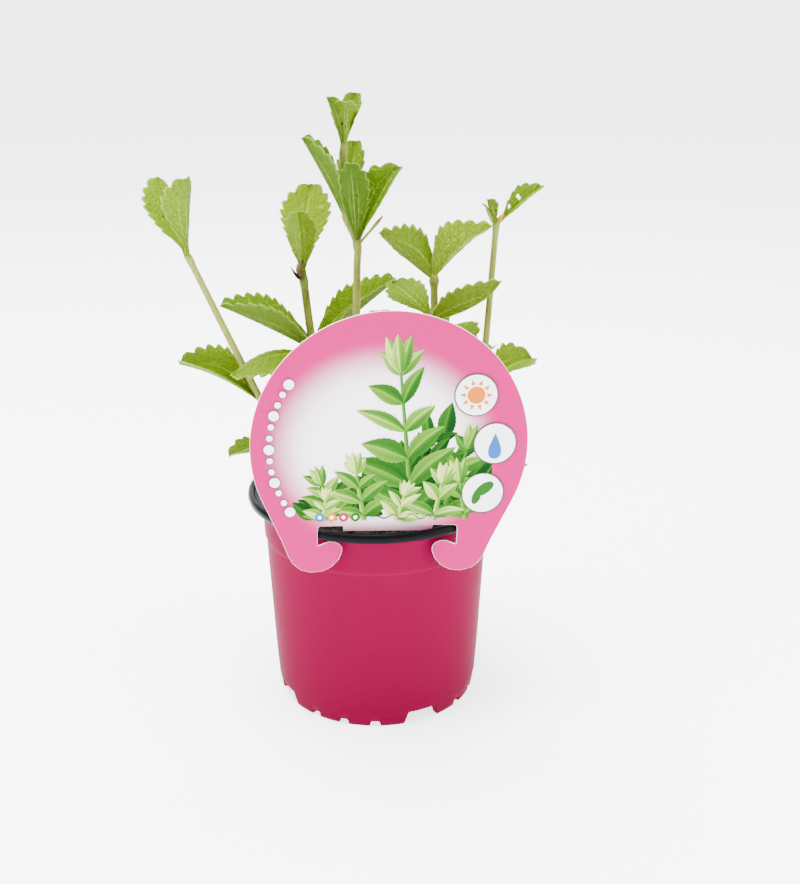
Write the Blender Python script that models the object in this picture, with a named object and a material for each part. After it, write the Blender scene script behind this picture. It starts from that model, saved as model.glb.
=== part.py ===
"""A young stevia plant in its pot: leafy stems in peat, a thin plastic pot, and a card hooked on the rim.

Every size below is in millimetres and becomes metres where a mesh is made.
The feet stand at Z = 0 and the card is on the -Y side. Sizes are written about the pot's axis, and
the whole object is then moved so that Z runs up through the middle of its overall box.
"""

import math

import bpy
import numpy as np

MM = 0.001
MOVE_X = 11.5
MOVE_Y = -0.65

# Pot, a thin sheet drawn into a cup
LIP_RADIUS = 52.5
LIP_TOP = 89.3
LIP_UNDERSIDE = 85.4
WALL_TOP_RADIUS = 46.9
SHOULDER_HEIGHT = 70.0
SHOULDER_RADIUS = 46.3
BELOW_SHOULDER_RADIUS = 45.7
WALL_FOOT_RADIUS = 42.8
FOOT_RADIUS = 41.4
FOOT_WIDTH = 2.2
SHEET = 0.9
FLOOR_UNDERSIDE = 5.4

# Cut-outs round the foot: four wide ones, and three small arches in each foot between them
FIRST_FOOT_TURN = -18.0
FEET = 4
FOOT_HALF_SPAN = 34.0
GATE_TOP_HALF_SPAN = 8.0
ARCH_SPACING = 18.0
ARCH_HALF_SPAN = 2.8
ARCH_HEIGHT = 2.2
DRAIN_RADIUS = 3.5
DRAIN_CIRCLE = 29.0

# Peat
SOIL_TOP = 80.0
SOIL_GAP = 0.3
STEM_HOLE_GAP = 0.3

# Card
CARD_TURN = 6.2
CARD_DISTANCE = 46.3
CARD_SHIFT = 0.4
CARD_ROLL = 2.0
CARD_THICKNESS = 0.6
CARD_ROLL_CENTRE = 88.0
DISC_RADIUS = 50.9
DISC_CENTRE = 121.2
DISC_LEAVES_ARM_AT = -24.0
SLOT_HALF_WIDTH = 26.2
SLOT_TOP = 90.6
TONGUE_HALF_WIDTH = 16.7
TONGUE_BOTTOM = 88.5

# Leaves
BLADE_THICKNESS = 0.62
MIDRIB_DEPTH = 0.5
PETIOLE_HALF_WIDTH = 1.4
FIRST_TOOTH = 0.26
LAST_TOOTH = 0.985
TOOTH_REACH = 0.072
TOOTH_LEAN = 0.025
BELLY = 0.1
STEM_SIDES = 7


def clear_scene():
    for thing in list(bpy.data.objects):
        bpy.data.objects.remove(thing)


def new_material(name, colour, roughness):
    material = bpy.data.materials.new(name)
    material.use_nodes = True
    shader = material.node_tree.nodes["Principled BSDF"]
    shader.inputs["Base Color"].default_value = (*colour, 1.0)
    shader.inputs["Roughness"].default_value = roughness
    return material


def new_object(name, points, faces, material=None):
    """A mesh object from points in millimetres about the pot's axis."""
    mesh = bpy.data.meshes.new(name)
    placed = (np.array(points, float) + (MOVE_X, MOVE_Y, 0.0)) * MM
    mesh.from_pydata(placed.tolist(), [], faces)
    if material:
        mesh.materials.append(material)
    thing = bpy.data.objects.new(name, mesh)
    bpy.context.collection.objects.link(thing)
    return thing


def smooth(thing, angle):
    thing.data.shade_smooth()
    thing.data.set_sharp_from_angle(angle=math.radians(angle))


def apply_boolean(thing, operation, tools, solver="EXACT"):
    """Join the tools to the thing, or cut them out of it, and take the tools away."""
    group = bpy.data.collections.new(thing.name + "_tools")
    bpy.context.scene.collection.children.link(group)
    for tool in tools:
        bpy.context.collection.objects.unlink(tool)
        group.objects.link(tool)
    modifier = thing.modifiers.new("join", "BOOLEAN")
    modifier.operation = operation
    modifier.operand_type = "COLLECTION"
    modifier.collection = group
    modifier.solver = solver
    depsgraph = bpy.context.evaluated_depsgraph_get()
    result = bpy.data.meshes.new_from_object(thing.evaluated_get(depsgraph))
    thing.modifiers.clear()
    thing.data = result
    for tool in tools:
        bpy.data.objects.remove(tool)
    bpy.data.collections.remove(group)


def foot_turns():
    """The turns round the pot, in degrees, where its foot changes height, and one between."""
    turns = []
    for foot in range(FEET):
        middle = FIRST_FOOT_TURN + 90.0 * foot
        local = [-FOOT_HALF_SPAN, -27.0, -9.0, 9.0, 27.0, FOOT_HALF_SPAN]
        for arch in (-ARCH_SPACING, 0.0, ARCH_SPACING):
            local += [arch - ARCH_HALF_SPAN, arch - 1.6, arch + 1.6, arch + ARCH_HALF_SPAN]
        local += [45.0 - GATE_TOP_HALF_SPAN, 45.0, 45.0 + GATE_TOP_HALF_SPAN]
        turns += [middle + step for step in sorted(local)]
    return turns


def foot_height(turn):
    """Height of the foot's edge: 0 on a foot, raised in an arch or a gate."""
    local = (turn - FIRST_FOOT_TURN + 45.0) % 90.0 - 45.0
    beyond = abs(local) - FOOT_HALF_SPAN
    slope = 45.0 - GATE_TOP_HALF_SPAN - FOOT_HALF_SPAN
    if beyond > 0.001:
        return FLOOR_UNDERSIDE * min(1.0, beyond / slope)
    for arch in (-ARCH_SPACING, 0.0, ARCH_SPACING):
        if abs(local - arch) < ARCH_HALF_SPAN - 0.01:
            return ARCH_HEIGHT
    return 0.0


def pot_profile():
    """Radius and height round the sheet's section, from the floor's underside out, up, over and in."""
    inner_foot = FOOT_RADIUS - FOOT_WIDTH
    return [
        (inner_foot - 0.6, FLOOR_UNDERSIDE),
        (inner_foot, 0.0),
        (FOOT_RADIUS, 0.0),
        (FOOT_RADIUS + 1.0, 6.0),
        (WALL_FOOT_RADIUS, 11.0),
        (BELOW_SHOULDER_RADIUS - 1.1, 46.0),
        (BELOW_SHOULDER_RADIUS, SHOULDER_HEIGHT - 0.6),
        (SHOULDER_RADIUS, SHOULDER_HEIGHT + 0.4),
        (WALL_TOP_RADIUS, LIP_UNDERSIDE),
        (WALL_TOP_RADIUS + 2.0, LIP_UNDERSIDE + 1.0),
        (LIP_RADIUS - 1.4, LIP_UNDERSIDE + 0.1),
        (LIP_RADIUS - 0.1, LIP_UNDERSIDE + 0.9),
        (LIP_RADIUS, LIP_TOP - 1.9),
        (LIP_RADIUS - 0.7, LIP_TOP - 0.4),
        (LIP_RADIUS - 1.7, LIP_TOP),
        (LIP_RADIUS - 2.6, LIP_TOP - 1.6),
        (LIP_RADIUS - 3.4, LIP_TOP - 2.2),
        (WALL_TOP_RADIUS - SHEET, LIP_UNDERSIDE - 0.8),
        (SHOULDER_RADIUS - SHEET, SHOULDER_HEIGHT),
        (WALL_FOOT_RADIUS - SHEET, 11.0),
        (FOOT_RADIUS - SHEET, FLOOR_UNDERSIDE + SHEET),
    ]


def build_pot():
    turns = foot_turns()
    profile = pot_profile()
    points = []
    for turn in turns:
        angle = math.radians(turn - 90.0)
        edge = foot_height(turn)
        for radius, height in profile:
            lifted = max(height, edge)
            points.append((radius * math.cos(angle), radius * math.sin(angle), lifted))
    count = len(profile)
    faces = []
    for i in range(len(turns)):
        here = i * count
        there = (i + 1) % len(turns) * count
        for k in range(count - 1):
            faces.append((here + k, there + k, there + k + 1, here + k + 1))
    points.append((0.0, 0.0, FLOOR_UNDERSIDE))
    points.append((0.0, 0.0, FLOOR_UNDERSIDE + SHEET))
    under, over = len(points) - 2, len(points) - 1
    for i in range(len(turns)):
        here = i * count
        there = (i + 1) % len(turns) * count
        faces.append((under, there, here))
        faces.append((over, here + count - 1, there + count - 1))
    pot = new_object("pot", points, faces, new_material("pot_plastic", (0.62, 0.01, 0.13), 0.38))
    drains = []
    for i in range(FEET):
        turn = math.radians(FIRST_FOOT_TURN - 45.0 + 90.0 * i)
        centre = (DRAIN_CIRCLE * math.cos(turn), DRAIN_CIRCLE * math.sin(turn))
        drains.append(prism("drain", DRAIN_RADIUS, 10, centre, FLOOR_UNDERSIDE - 2, FLOOR_UNDERSIDE + 2))
    apply_boolean(pot, "DIFFERENCE", drains, "MANIFOLD")
    smooth(pot, 35)
    return pot


def prism(name, radius, sides, centre, low, high):
    """An upright prism, for a cut."""
    points = []
    for height in (low, high):
        for i in range(sides):
            turn = 2.0 * math.pi * i / sides
            x, y = centre[0] + radius * math.cos(turn), centre[1] + radius * math.sin(turn)
            points.append((x, y, height))
    faces = [tuple(reversed(range(sides))), tuple(range(sides, 2 * sides))]
    faces += [(i, (i + 1) % sides, sides + (i + 1) % sides, sides + i) for i in range(sides)]
    return new_object(name, points, faces)


def stem_centres(path, stations):
    """Points along a smooth curve through the path's points (Catmull-Rom)."""
    knots = np.array(path, float)
    padded = np.vstack([2 * knots[0] - knots[1], knots, 2 * knots[-1] - knots[-2]])
    spans = len(knots) - 1
    centres = []
    for i in range(stations + 1):
        place = spans * i / stations
        k = min(int(place), spans - 1)
        t = place - k
        a, b, c, d = padded[k:k + 4]
        curve = 2 * b + (c - a) * t + (2 * a - 5 * b + 4 * c - d) * t * t + (3 * b - a - 3 * c + d) * t ** 3
        centres.append(curve / 2)
    return np.array(centres)


def tube(name, centres, radii, sides):
    """A closed tube with flat ends round the centres."""
    points = []
    for i, centre in enumerate(centres):
        along = centres[min(i + 1, len(centres) - 1)] - centres[max(i - 1, 0)]
        along = along / np.linalg.norm(along)
        side = np.cross(along, (0.0, 1.0, 0.0))
        side = side / np.linalg.norm(side)
        other = np.cross(along, side)
        for k in range(sides):
            turn = 2.0 * math.pi * k / sides
            points.append(centre + radii[i] * (math.cos(turn) * side + math.sin(turn) * other))
    last = (len(centres) - 1) * sides
    faces = [tuple(reversed(range(sides))), tuple(range(last, last + sides))]
    for i in range(len(centres) - 1):
        for k in range(sides):
            m = (k + 1) % sides
            faces.append((i * sides + k, i * sides + m, (i + 1) * sides + m, (i + 1) * sides + k))
    return new_object(name, points, faces)


def leaf_stations(teeth):
    """Places along the midrib, 0 to 1, and each one's tooth: 0 in a notch, 1 on a point."""
    stations = [(0.0, 0.0), (0.13, 0.0)]
    pitch = (LAST_TOOTH - FIRST_TOOTH) / teeth
    for tooth in range(teeth):
        start = FIRST_TOOTH + pitch * tooth
        stations.append((start, 0.0))
        stations.append((start + 0.6 * pitch, 1.0))
    stations.append((1.0, 0.0))
    return stations


def blade_half_width(s, width, widest, point):
    """A wedge from the stem, fullest at widest, closing at the tip: s^wedge times (1 - s)^point.

    The wedge's sides are drawn in by up to BELLY, half way to the widest place.
    """
    wedge = point * widest / (1.0 - widest)
    share = (s / widest) ** wedge * ((1.0 - s) / (1.0 - widest)) ** point
    share *= 1.0 - BELLY * math.sin(math.pi * min(s / widest, 1.0))
    return max(PETIOLE_HALF_WIDTH * (1.0 - 0.8 * s), 0.5 * width * share)


def leaf(base, turn, rise, length, width, fold=25.0, arch=0.0, curl=0.0, sweep=0.0, roll=0.0,
         widest=0.64, point=0.9, teeth=6):
    """A toothed leaf blade, folded up along its midrib.

    turn and rise point its chord (turn 0 is +X, 90 is +Y). Its midrib bows off the chord towards
    the upper face by arch and sideways by sweep, and its point bends back by curl. Both faces have
    the same triangles.
    """
    turn, rise = math.radians(turn), math.radians(rise)
    along = np.array([math.cos(rise) * math.cos(turn), math.cos(rise) * math.sin(turn), math.sin(rise)])
    level = np.array([-math.sin(turn), math.cos(turn), 0.0])
    upper = np.cross(along, level)
    bend = math.radians(fold)
    steep = math.cos(bend) * math.cos(math.atan(abs(arch) + abs(curl)))
    thickness = BLADE_THICKNESS / max(steep, 0.5)
    top, bottom = [], []
    for s, tooth in leaf_stations(teeth):
        angle = math.radians(roll)
        side = level * math.cos(angle) + upper * math.sin(angle)
        face = upper * math.cos(angle) - level * math.sin(angle)
        bow = length * (arch * s * (1.0 - s) + curl * (s - s ** 4))
        rib = np.array(base) + along * length * s + face * bow + level * length * sweep * s * (1.0 - s)
        half = blade_half_width(s, width, widest, point) + tooth * TOOTH_REACH * width
        forward = along * tooth * TOOTH_LEAN * length
        lift = face * half * math.sin(bend)
        spread = side * half * math.cos(bend)
        top += [rib + spread + lift + forward, rib, rib - spread + lift + forward]
        rib_depth = MIDRIB_DEPTH * (1.0 - 0.7 * s)
        for drop in (thickness, thickness + rib_depth, thickness):
            bottom.append(top[len(bottom)] - face * drop)
    rows = len(top) // 3
    half_count = len(top)
    faces = []
    for i in range(rows - 1):
        a, b = 3 * i, 3 * (i + 1)
        upper_faces = [(a, b, b + 1), (a, b + 1, a + 1), (a + 1, b + 1, a + 2), (a + 2, b + 1, b + 2)]
        faces += [tuple(reversed(face)) for face in upper_faces]
        faces += [tuple(half_count + v for v in face) for face in upper_faces]
        faces += [(a, b, half_count + b), (a, half_count + b, half_count + a)]
        faces += [(a + 2, half_count + b + 2, b + 2), (a + 2, half_count + a + 2, half_count + b + 2)]
    tip = 3 * (rows - 1)
    for a in (0, 1):
        faces += [(a, half_count + a + 1, a + 1), (a, half_count + a, half_count + a + 1)]
    for a in (tip, tip + 1):
        faces += [(a, a + 1, half_count + a + 1), (a, half_count + a + 1, half_count + a)]
    return new_object("leaf", top + bottom, faces)


def point_at_height(centres, height):
    """The point of a stem's centre line at a height."""
    heights = centres[:, 2]
    return np.array([np.interp(height, heights, centres[:, axis]) for axis in range(3)])


def build_shoot(name, path, radius_low, radius_high, leaves, twig=None, stations=9):
    """One stem, its pairs of leaves and its joints, grown together as one body."""
    centres = stem_centres(path, stations)
    share = np.linspace(0.0, 1.0, len(centres))
    radii = radius_low + (radius_high - radius_low) * share
    stem = tube(name, centres, radii, STEM_SIDES)
    grown = []
    for height, shape in leaves:
        base = point_at_height(centres, height)
        grown.append(leaf(base, **shape))
    if twig:
        height, turn, rise, length = twig
        base = point_at_height(centres, height)
        turn, rise = math.radians(turn), math.radians(rise)
        along = np.array([math.cos(rise) * math.cos(turn), math.cos(rise) * math.sin(turn), math.sin(rise)])
        ends = np.array([base, base + along * length * 0.7, base + along * length])
        grown.append(tube("twig", ends, [0.6, 0.6, 0.35], 5))
    apply_boolean(stem, "UNION", grown)
    stem.data.materials.clear()
    stem.data.materials.append(new_material(name + "_green", (0.27, 0.42, 0.06), 0.6))
    smooth(stem, 40)
    return stem


# The stems: points of the centre line, radius at the root and at the top, then each leaf with
# the height that it leaves the stem at
SHOOTS = {
    "shoot_1": dict(
        path=[(-20, 3, 52), (-22, 3, 70), (-28, 3, 84), (-38, 2.5, 106), (-46, 2, 124), (-58, 0, 152),
              (-71.5, -2, 184)],
        radius_low=1.7, radius_high=1.25,
        leaves=[
            (183, dict(turn=133, rise=58, length=34.5, width=18.5, fold=-18, arch=0.05, roll=9, teeth=7)),
            (183, dict(turn=-76, rise=66, length=34, width=16, fold=43, arch=0.15, roll=29)),
            (124, dict(turn=165, rise=21, length=38, width=22, fold=50, arch=0.35, roll=-24,
                       widest=0.55, teeth=7)),
            (122, dict(turn=-35, rise=-20, length=22, width=14, fold=25, arch=0.4, teeth=5)),
            (101, dict(turn=-153, rise=9, length=26, width=15, fold=25, arch=0.3, teeth=5)),
            (101, dict(turn=95, rise=18, length=22, width=14, fold=25, arch=0.3, teeth=4)),
        ]),
    "shoot_2": dict(
        path=[(-6, 14, 52), (-7, 14, 72), (-11, 13.5, 90), (-18, 12.5, 118), (-25, 11, 144),
              (-28.5, 10, 174)],
        radius_low=1.9, radius_high=1.5,
        leaves=[
            (172.5, dict(turn=75, rise=70, length=38, width=19, fold=10, curl=-0.06, sweep=0.2,
                         widest=0.68, teeth=8)),
            (172.5, dict(turn=-95, rise=72, length=29, width=13, fold=30, arch=0.1, teeth=5)),
            (144, dict(turn=-163, rise=29, length=42, width=22, fold=48, arch=0.05, roll=-9,
                       widest=0.5, teeth=8)),
            (144, dict(turn=27, rise=34, length=45, width=20, fold=48, arch=0.05, roll=12,
                       widest=0.5, teeth=8)),
            (139, dict(turn=-143, rise=0, length=39, width=20, fold=-38, arch=0.75, widest=0.5, teeth=7)),
            (118, dict(turn=-130, rise=20, length=28, width=16, fold=25, arch=0.3, teeth=5)),
            (118, dict(turn=100, rise=20, length=26, width=16, fold=25, arch=0.3, teeth=5)),
            (98, dict(turn=75, rise=16, length=24, width=15, fold=25, arch=0.3, teeth=4)),
        ]),
    "shoot_3": dict(
        path=[(-7.5, -6, 52), (-7.5, -6, 90), (-7.3, -6, 140), (-6.4, -6, 178), (-6.3, -6, 189),
              (-10.3, -6, 199.5), (-10.8, -6, 212), (-10.6, -6, 226)],
        radius_low=1.8, radius_high=1.2,
        leaves=[
            (189, dict(turn=-95, rise=65, length=34, width=12, fold=32, arch=0.1, widest=0.6)),
            (189, dict(turn=32, rise=57, length=34, width=17, fold=40, arch=0.1, roll=20)),
            (199.5, dict(turn=-157, rise=61, length=33, width=16, fold=38, arch=0.05, roll=-15)),
            (199.5, dict(turn=76, rise=60, length=30, width=11, fold=30, arch=0.1, teeth=5)),
            (224, dict(turn=-130, rise=66, length=20, width=9, fold=35, arch=0.1, teeth=4)),
            (224, dict(turn=-83, rise=62, length=19, width=11, fold=38, arch=0.2, curl=0.1, teeth=4)),
            (224, dict(turn=60, rise=64, length=22, width=11, fold=30, arch=0.1, teeth=4)),
            (128, dict(turn=15, rise=2, length=26, width=16, fold=25, arch=0.3, teeth=5)),
            (128, dict(turn=-160, rise=15, length=28, width=16, fold=25, arch=0.3, teeth=5)),
            (103, dict(turn=-85, rise=18, length=26, width=15, fold=25, arch=0.3, teeth=4)),
        ],
        twig=(188, -20, 48, 16), stations=11),
    "shoot_4": dict(
        path=[(15, 2, 52), (16, 2, 72), (19, 1, 100), (22, 0, 130), (23.3, 0, 159), (23.2, 0, 176)],
        radius_low=1.7, radius_high=1.35,
        leaves=[
            (174, dict(turn=-146, rise=38, length=31, width=20, fold=50, arch=0.5, roll=48,
                       widest=0.38, point=1.2)),
            (175, dict(turn=-30, rise=41, length=32, width=18, fold=32, arch=0.55, roll=-32,
                       widest=0.45, point=1.1)),
            (159, dict(turn=130, rise=22, length=27, width=15, fold=14, arch=0.1, roll=-20)),
            (159, dict(turn=-31, rise=29, length=33, width=21, fold=30, arch=-0.25, roll=-14, widest=0.45)),
            (131, dict(turn=100, rise=20, length=28, width=14, fold=25, arch=0.3, teeth=5)),
            (131, dict(turn=-120, rise=20, length=32, width=17, fold=25, arch=0.3, teeth=5)),
            (105, dict(turn=-35, rise=10, length=28, width=15, fold=25, arch=0.3, teeth=4)),
        ]),
    "shoot_5": dict(
        path=[(33, 1, 52), (34, 1, 72), (38.5, 1.5, 100), (42.6, 2, 131), (44.2, 2, 151), (47, 2, 197)],
        radius_low=1.5, radius_high=1.15,
        leaves=[
            (195, dict(turn=-119, rise=54, length=13, width=5, fold=35, arch=0.1, teeth=3)),
            (195, dict(turn=31, rise=32, length=26, width=10, fold=40, arch=0.1, roll=20, teeth=5)),
            (131, dict(turn=33, rise=16, length=27, width=18, fold=32, arch=0.3, roll=22, teeth=5)),
            (131, dict(turn=-105, rise=18, length=24, width=15, fold=25, arch=0.3, teeth=5)),
            (97, dict(turn=26, rise=-9, length=28, width=14, fold=20, arch=0.25, teeth=4)),
        ]),
    "shoot_6": dict(
        path=[(4, 27, 52), (4, 27, 72), (4, 27, 100), (3, 26, 126), (2, 25, 142)],
        radius_low=1.6, radius_high=1.2,
        leaves=[
            (141, dict(turn=92, rise=18, length=30, width=15, fold=15, arch=0.1, teeth=5)),
            (141, dict(turn=-83, rise=11, length=18, width=10, fold=28, arch=0.3, teeth=4)),
            (120, dict(turn=23, rise=21, length=30, width=16, fold=27, arch=0.3, teeth=5)),
            (120, dict(turn=140, rise=22, length=30, width=17, fold=25, arch=0.3, teeth=5)),
            (98, dict(turn=85, rise=14, length=26, width=16, fold=25, arch=0.3, teeth=5)),
        ]),
    "shoot_7": dict(
        path=[(27, 20, 52), (27, 20, 72), (28, 20, 110), (29, 20, 152)],
        radius_low=1.5, radius_high=1.1,
        leaves=[
            (151, dict(turn=-66, rise=-10, length=21, width=15, fold=20, arch=0.4, roll=10, teeth=5)),
            (151, dict(turn=128, rise=-5, length=26, width=15, fold=20, arch=0.3, teeth=5)),
            (126, dict(turn=42, rise=20, length=32, width=16, fold=25, arch=0.3, teeth=5)),
            (102, dict(turn=10, rise=10, length=28, width=15, fold=25, arch=0.3, teeth=4)),
            (102, dict(turn=100, rise=12, length=26, width=15, fold=25, arch=0.3, teeth=4)),
        ]),
    "shoot_8": dict(
        path=[(-22, 25, 52), (-22, 25, 72), (-23, 26, 96), (-24, 27, 116)],
        radius_low=1.5, radius_high=1.1,
        leaves=[
            (115, dict(turn=95, rise=25, length=26, width=15, fold=30, arch=0.2, teeth=5)),
            (115, dict(turn=200, rise=18, length=26, width=15, fold=30, arch=0.2, teeth=5)),
            (98, dict(turn=140, rise=18, length=28, width=16, fold=25, arch=0.3, teeth=5)),
            (92, dict(turn=185, rise=10, length=22, width=14, fold=25, arch=0.3, teeth=4)),
        ]),
}


def build_soil():
    """Peat up to a lumpy top, with a plain hole for each stem."""
    rows = 44
    inside = [(FOOT_RADIUS - SHEET, FLOOR_UNDERSIDE + SHEET), (WALL_FOOT_RADIUS - SHEET, 11.0),
              (SHOULDER_RADIUS - SHEET, SHOULDER_HEIGHT), (SHOULDER_RADIUS - SHEET + 0.4, SOIL_TOP)]
    random = np.random.default_rng(11)
    lumps = random.uniform(-1.0, 1.0, (12, 4))
    points = []
    for i in range(rows):
        turn = 2.0 * math.pi * i / rows
        for radius, height in inside:
            reach = radius - SOIL_GAP - 0.15
            lifted = height + SOIL_GAP if height < 10.0 else height
            points.append((reach * math.cos(turn), reach * math.sin(turn), lifted))
    sides = len(inside)
    faces = []
    for i in range(rows):
        here, there = i * sides, (i + 1) % rows * sides
        for k in range(sides - 1):
            faces.append((here + k, there + k, there + k + 1, here + k + 1))
    rings = [40.0, 32.0, 24.0, 16.0, 8.0]
    start = len(points)
    for ring, radius in enumerate(rings):
        for i in range(rows):
            turn = 2.0 * math.pi * (i + random.uniform(-0.3, 0.3)) / rows
            x, y = radius * math.cos(turn), radius * math.sin(turn)
            wave = sum(lump[0] * math.sin(0.11 * x * (1 + lump[1]) + 0.13 * y * (1 + lump[2]) + 3 * lump[3])
                       for lump in lumps)
            points.append((x, y, SOIL_TOP + 0.35 * wave + random.uniform(-0.7, 0.7)))
    outer = [i * sides + sides - 1 for i in range(rows)]
    for ring in range(len(rings)):
        inner = [start + ring * rows + i for i in range(rows)]
        for i in range(rows):
            m = (i + 1) % rows
            faces.append((outer[i], outer[m], inner[m]))
            faces.append((outer[i], inner[m], inner[i]))
        outer = inner
    points.append((0.0, 0.0, SOIL_TOP + 0.5))
    points.append((0.0, 0.0, FLOOR_UNDERSIDE + SHEET + SOIL_GAP))
    top, bottom = len(points) - 2, len(points) - 1
    for i in range(rows):
        m = (i + 1) % rows
        faces.append((outer[i], outer[m], top))
        faces.append((bottom, m * sides, i * sides))
    soil = new_object("soil", points, faces, new_material("peat", (0.05, 0.03, 0.02), 0.95))
    holes = []
    for name, shoot in SHOOTS.items():
        stations = shoot.get("stations", 9)
        centres = stem_centres(shoot["path"], stations)
        share = np.linspace(0.0, 1.0, len(centres))
        radii = shoot["radius_low"] + (shoot["radius_high"] - shoot["radius_low"]) * share
        radii = radii + STEM_HOLE_GAP + 0.1
        reach = centres[:, 2] < 110.0
        holes.append(tube("hole", lowered(centres[reach]), radii[reach], STEM_SIDES))
    apply_boolean(soil, "DIFFERENCE", holes)
    smooth(soil, 50)
    return soil


def lowered(centres):
    """The same centre line with its first point lower, so that the hole is deeper than the stem."""
    longer = centres.copy()
    longer[0, 2] -= STEM_HOLE_GAP
    return longer


def card_outline():
    """Half the card's outline, as across and height, from the top of its disc down to the tongue."""
    half = []
    for i in range(25):
        angle = math.radians(90.0 + (DISC_LEAVES_ARM_AT - 90.0) * i / 24.0)
        half.append((DISC_RADIUS * math.cos(angle), DISC_CENTRE + DISC_RADIUS * math.sin(angle)))
    half += [(39.2, 84.2), (37.0, 78.4), (35.3, 75.3), (32.4, 72.8), (28.5, 71.7), (24.3, 72.1)]
    half += [(20.7, 74.0), (18.2, 76.9), (17.0, 80.0), (17.1, 82.0), (18.2, 83.4), (20.2, 84.2)]
    half += [(22.3, 84.2), (24.2, 83.4)]
    half += [(SLOT_HALF_WIDTH, 82.6), (SLOT_HALF_WIDTH, SLOT_TOP - 1.2), (SLOT_HALF_WIDTH - 1.2, SLOT_TOP)]
    half += [(TONGUE_HALF_WIDTH + 0.3, SLOT_TOP), (TONGUE_HALF_WIDTH, SLOT_TOP - 0.3)]
    half += [(TONGUE_HALF_WIDTH, TONGUE_BOTTOM)]
    return half


def build_card():
    half = card_outline()
    outline = half + [(-across, height) for across, height in reversed(half[1:])]
    turn, roll = math.radians(CARD_TURN), math.radians(CARD_ROLL)
    outward = np.array([math.sin(turn), -math.cos(turn), 0.0])
    across_way = np.array([math.cos(turn), math.sin(turn), 0.0])
    up = np.array([0.0, 0.0, 1.0])
    points = []
    for depth in (CARD_THICKNESS / 2, -CARD_THICKNESS / 2):
        for across, height in outline:
            rise = height - CARD_ROLL_CENTRE
            u = across * math.cos(roll) + rise * math.sin(roll) + CARD_SHIFT
            v = rise * math.cos(roll) - across * math.sin(roll) + CARD_ROLL_CENTRE
            points.append(outward * (CARD_DISTANCE + depth) + across_way * u + up * v)
    count = len(outline)
    faces = [tuple(reversed(range(count))), tuple(range(count, 2 * count))]
    faces += [(i, (i + 1) % count, count + (i + 1) % count, count + i) for i in range(count)]
    return new_object("label_card", points, faces, new_material("card", (0.84, 0.25, 0.43), 0.45))


clear_scene()
build_pot()
build_soil()
build_card()
for shoot_name, shoot in SHOOTS.items():
    build_shoot(shoot_name, **shoot)
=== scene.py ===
import math
import bpy
import numpy as np
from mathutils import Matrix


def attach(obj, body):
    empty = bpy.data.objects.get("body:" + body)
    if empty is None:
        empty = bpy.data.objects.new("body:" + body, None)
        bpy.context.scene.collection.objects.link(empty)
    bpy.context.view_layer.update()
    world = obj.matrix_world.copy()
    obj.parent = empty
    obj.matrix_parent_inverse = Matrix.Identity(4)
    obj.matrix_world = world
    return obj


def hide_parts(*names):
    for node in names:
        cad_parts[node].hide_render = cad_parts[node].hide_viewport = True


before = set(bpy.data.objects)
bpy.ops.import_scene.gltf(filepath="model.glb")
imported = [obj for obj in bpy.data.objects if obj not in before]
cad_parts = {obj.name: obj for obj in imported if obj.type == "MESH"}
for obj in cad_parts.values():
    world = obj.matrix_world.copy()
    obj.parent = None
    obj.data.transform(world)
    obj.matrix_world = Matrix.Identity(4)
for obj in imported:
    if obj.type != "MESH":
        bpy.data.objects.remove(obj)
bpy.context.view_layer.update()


# Camera, as the photograph was taken: a little higher than the plant's tip and aimed down at the
# pot. Its place, pitch and lens are fitted to the ellipses of the pot's rim, shoulder and foot.
camera_pitch_down = 19.3
camera_data = bpy.data.cameras.new("camera")
camera_data.lens = 44.4
camera_data.sensor_width = 36.0
camera_data.clip_start = 0.01
camera_data.clip_end = 30.0
camera = bpy.data.objects.new("camera", camera_data)
camera.location = (0.0215, -0.42065, 0.2545)
camera.rotation_euler = (math.radians(90.0 - camera_pitch_down), 0.0, 0.0)
bpy.context.collection.objects.link(camera)
bpy.context.scene.camera = camera


# Floor: one white paper sheet that runs back and curves up behind, so that no edge shows, with a
# glow of its own that keeps it white. Its bend is y = 3 + R sin a and z = R (1 - cos a), in metres.
sheet_bend = np.linspace(0.1, 1.5, 12)
sheet_bend_radius = 1.5
bend_run = 3.0 + sheet_bend_radius * np.sin(sheet_bend)
bend_rise = sheet_bend_radius * (1.0 - np.cos(sheet_bend))
sheet_run = np.concatenate([np.linspace(-3.0, 3.0, 25), bend_run, [4.5]])
sheet_rise = np.concatenate([np.zeros(25), bend_rise, [6.0]])
sheet_points = [(x, y, z) for y, z in zip(sheet_run, sheet_rise) for x in (-5.0, 5.0)]
sheet_faces = [(2 * i, 2 * i + 1, 2 * i + 3, 2 * i + 2) for i in range(len(sheet_run) - 1)]


def add_piece(name, points, faces):
    """A new object at the origin, from points in metres and faces, and its mesh."""
    mesh = bpy.data.meshes.new(name)
    mesh.from_pydata(points, [], faces)
    piece = bpy.data.objects.new(name, mesh)
    bpy.context.collection.objects.link(piece)
    return piece, mesh


def fill_inputs(tree, node, inputs):
    """Gives each named input of a node a value, or a link where the value is an output."""
    for name, value in inputs.items():
        if isinstance(value, bpy.types.NodeSocket):
            tree.links.new(value, node.inputs[name])
        else:
            node.inputs[name].default_value = value


def set_finish(material, colour, rough, specular):
    """Gives a material its colour, roughness and specular level, and returns its shader."""
    material.use_nodes = True
    shader = material.node_tree.nodes["Principled BSDF"]
    inputs = {"Base Color": colour, "Roughness": rough, "Specular IOR Level": specular}
    fill_inputs(material.node_tree, shader, inputs)
    return shader


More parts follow.
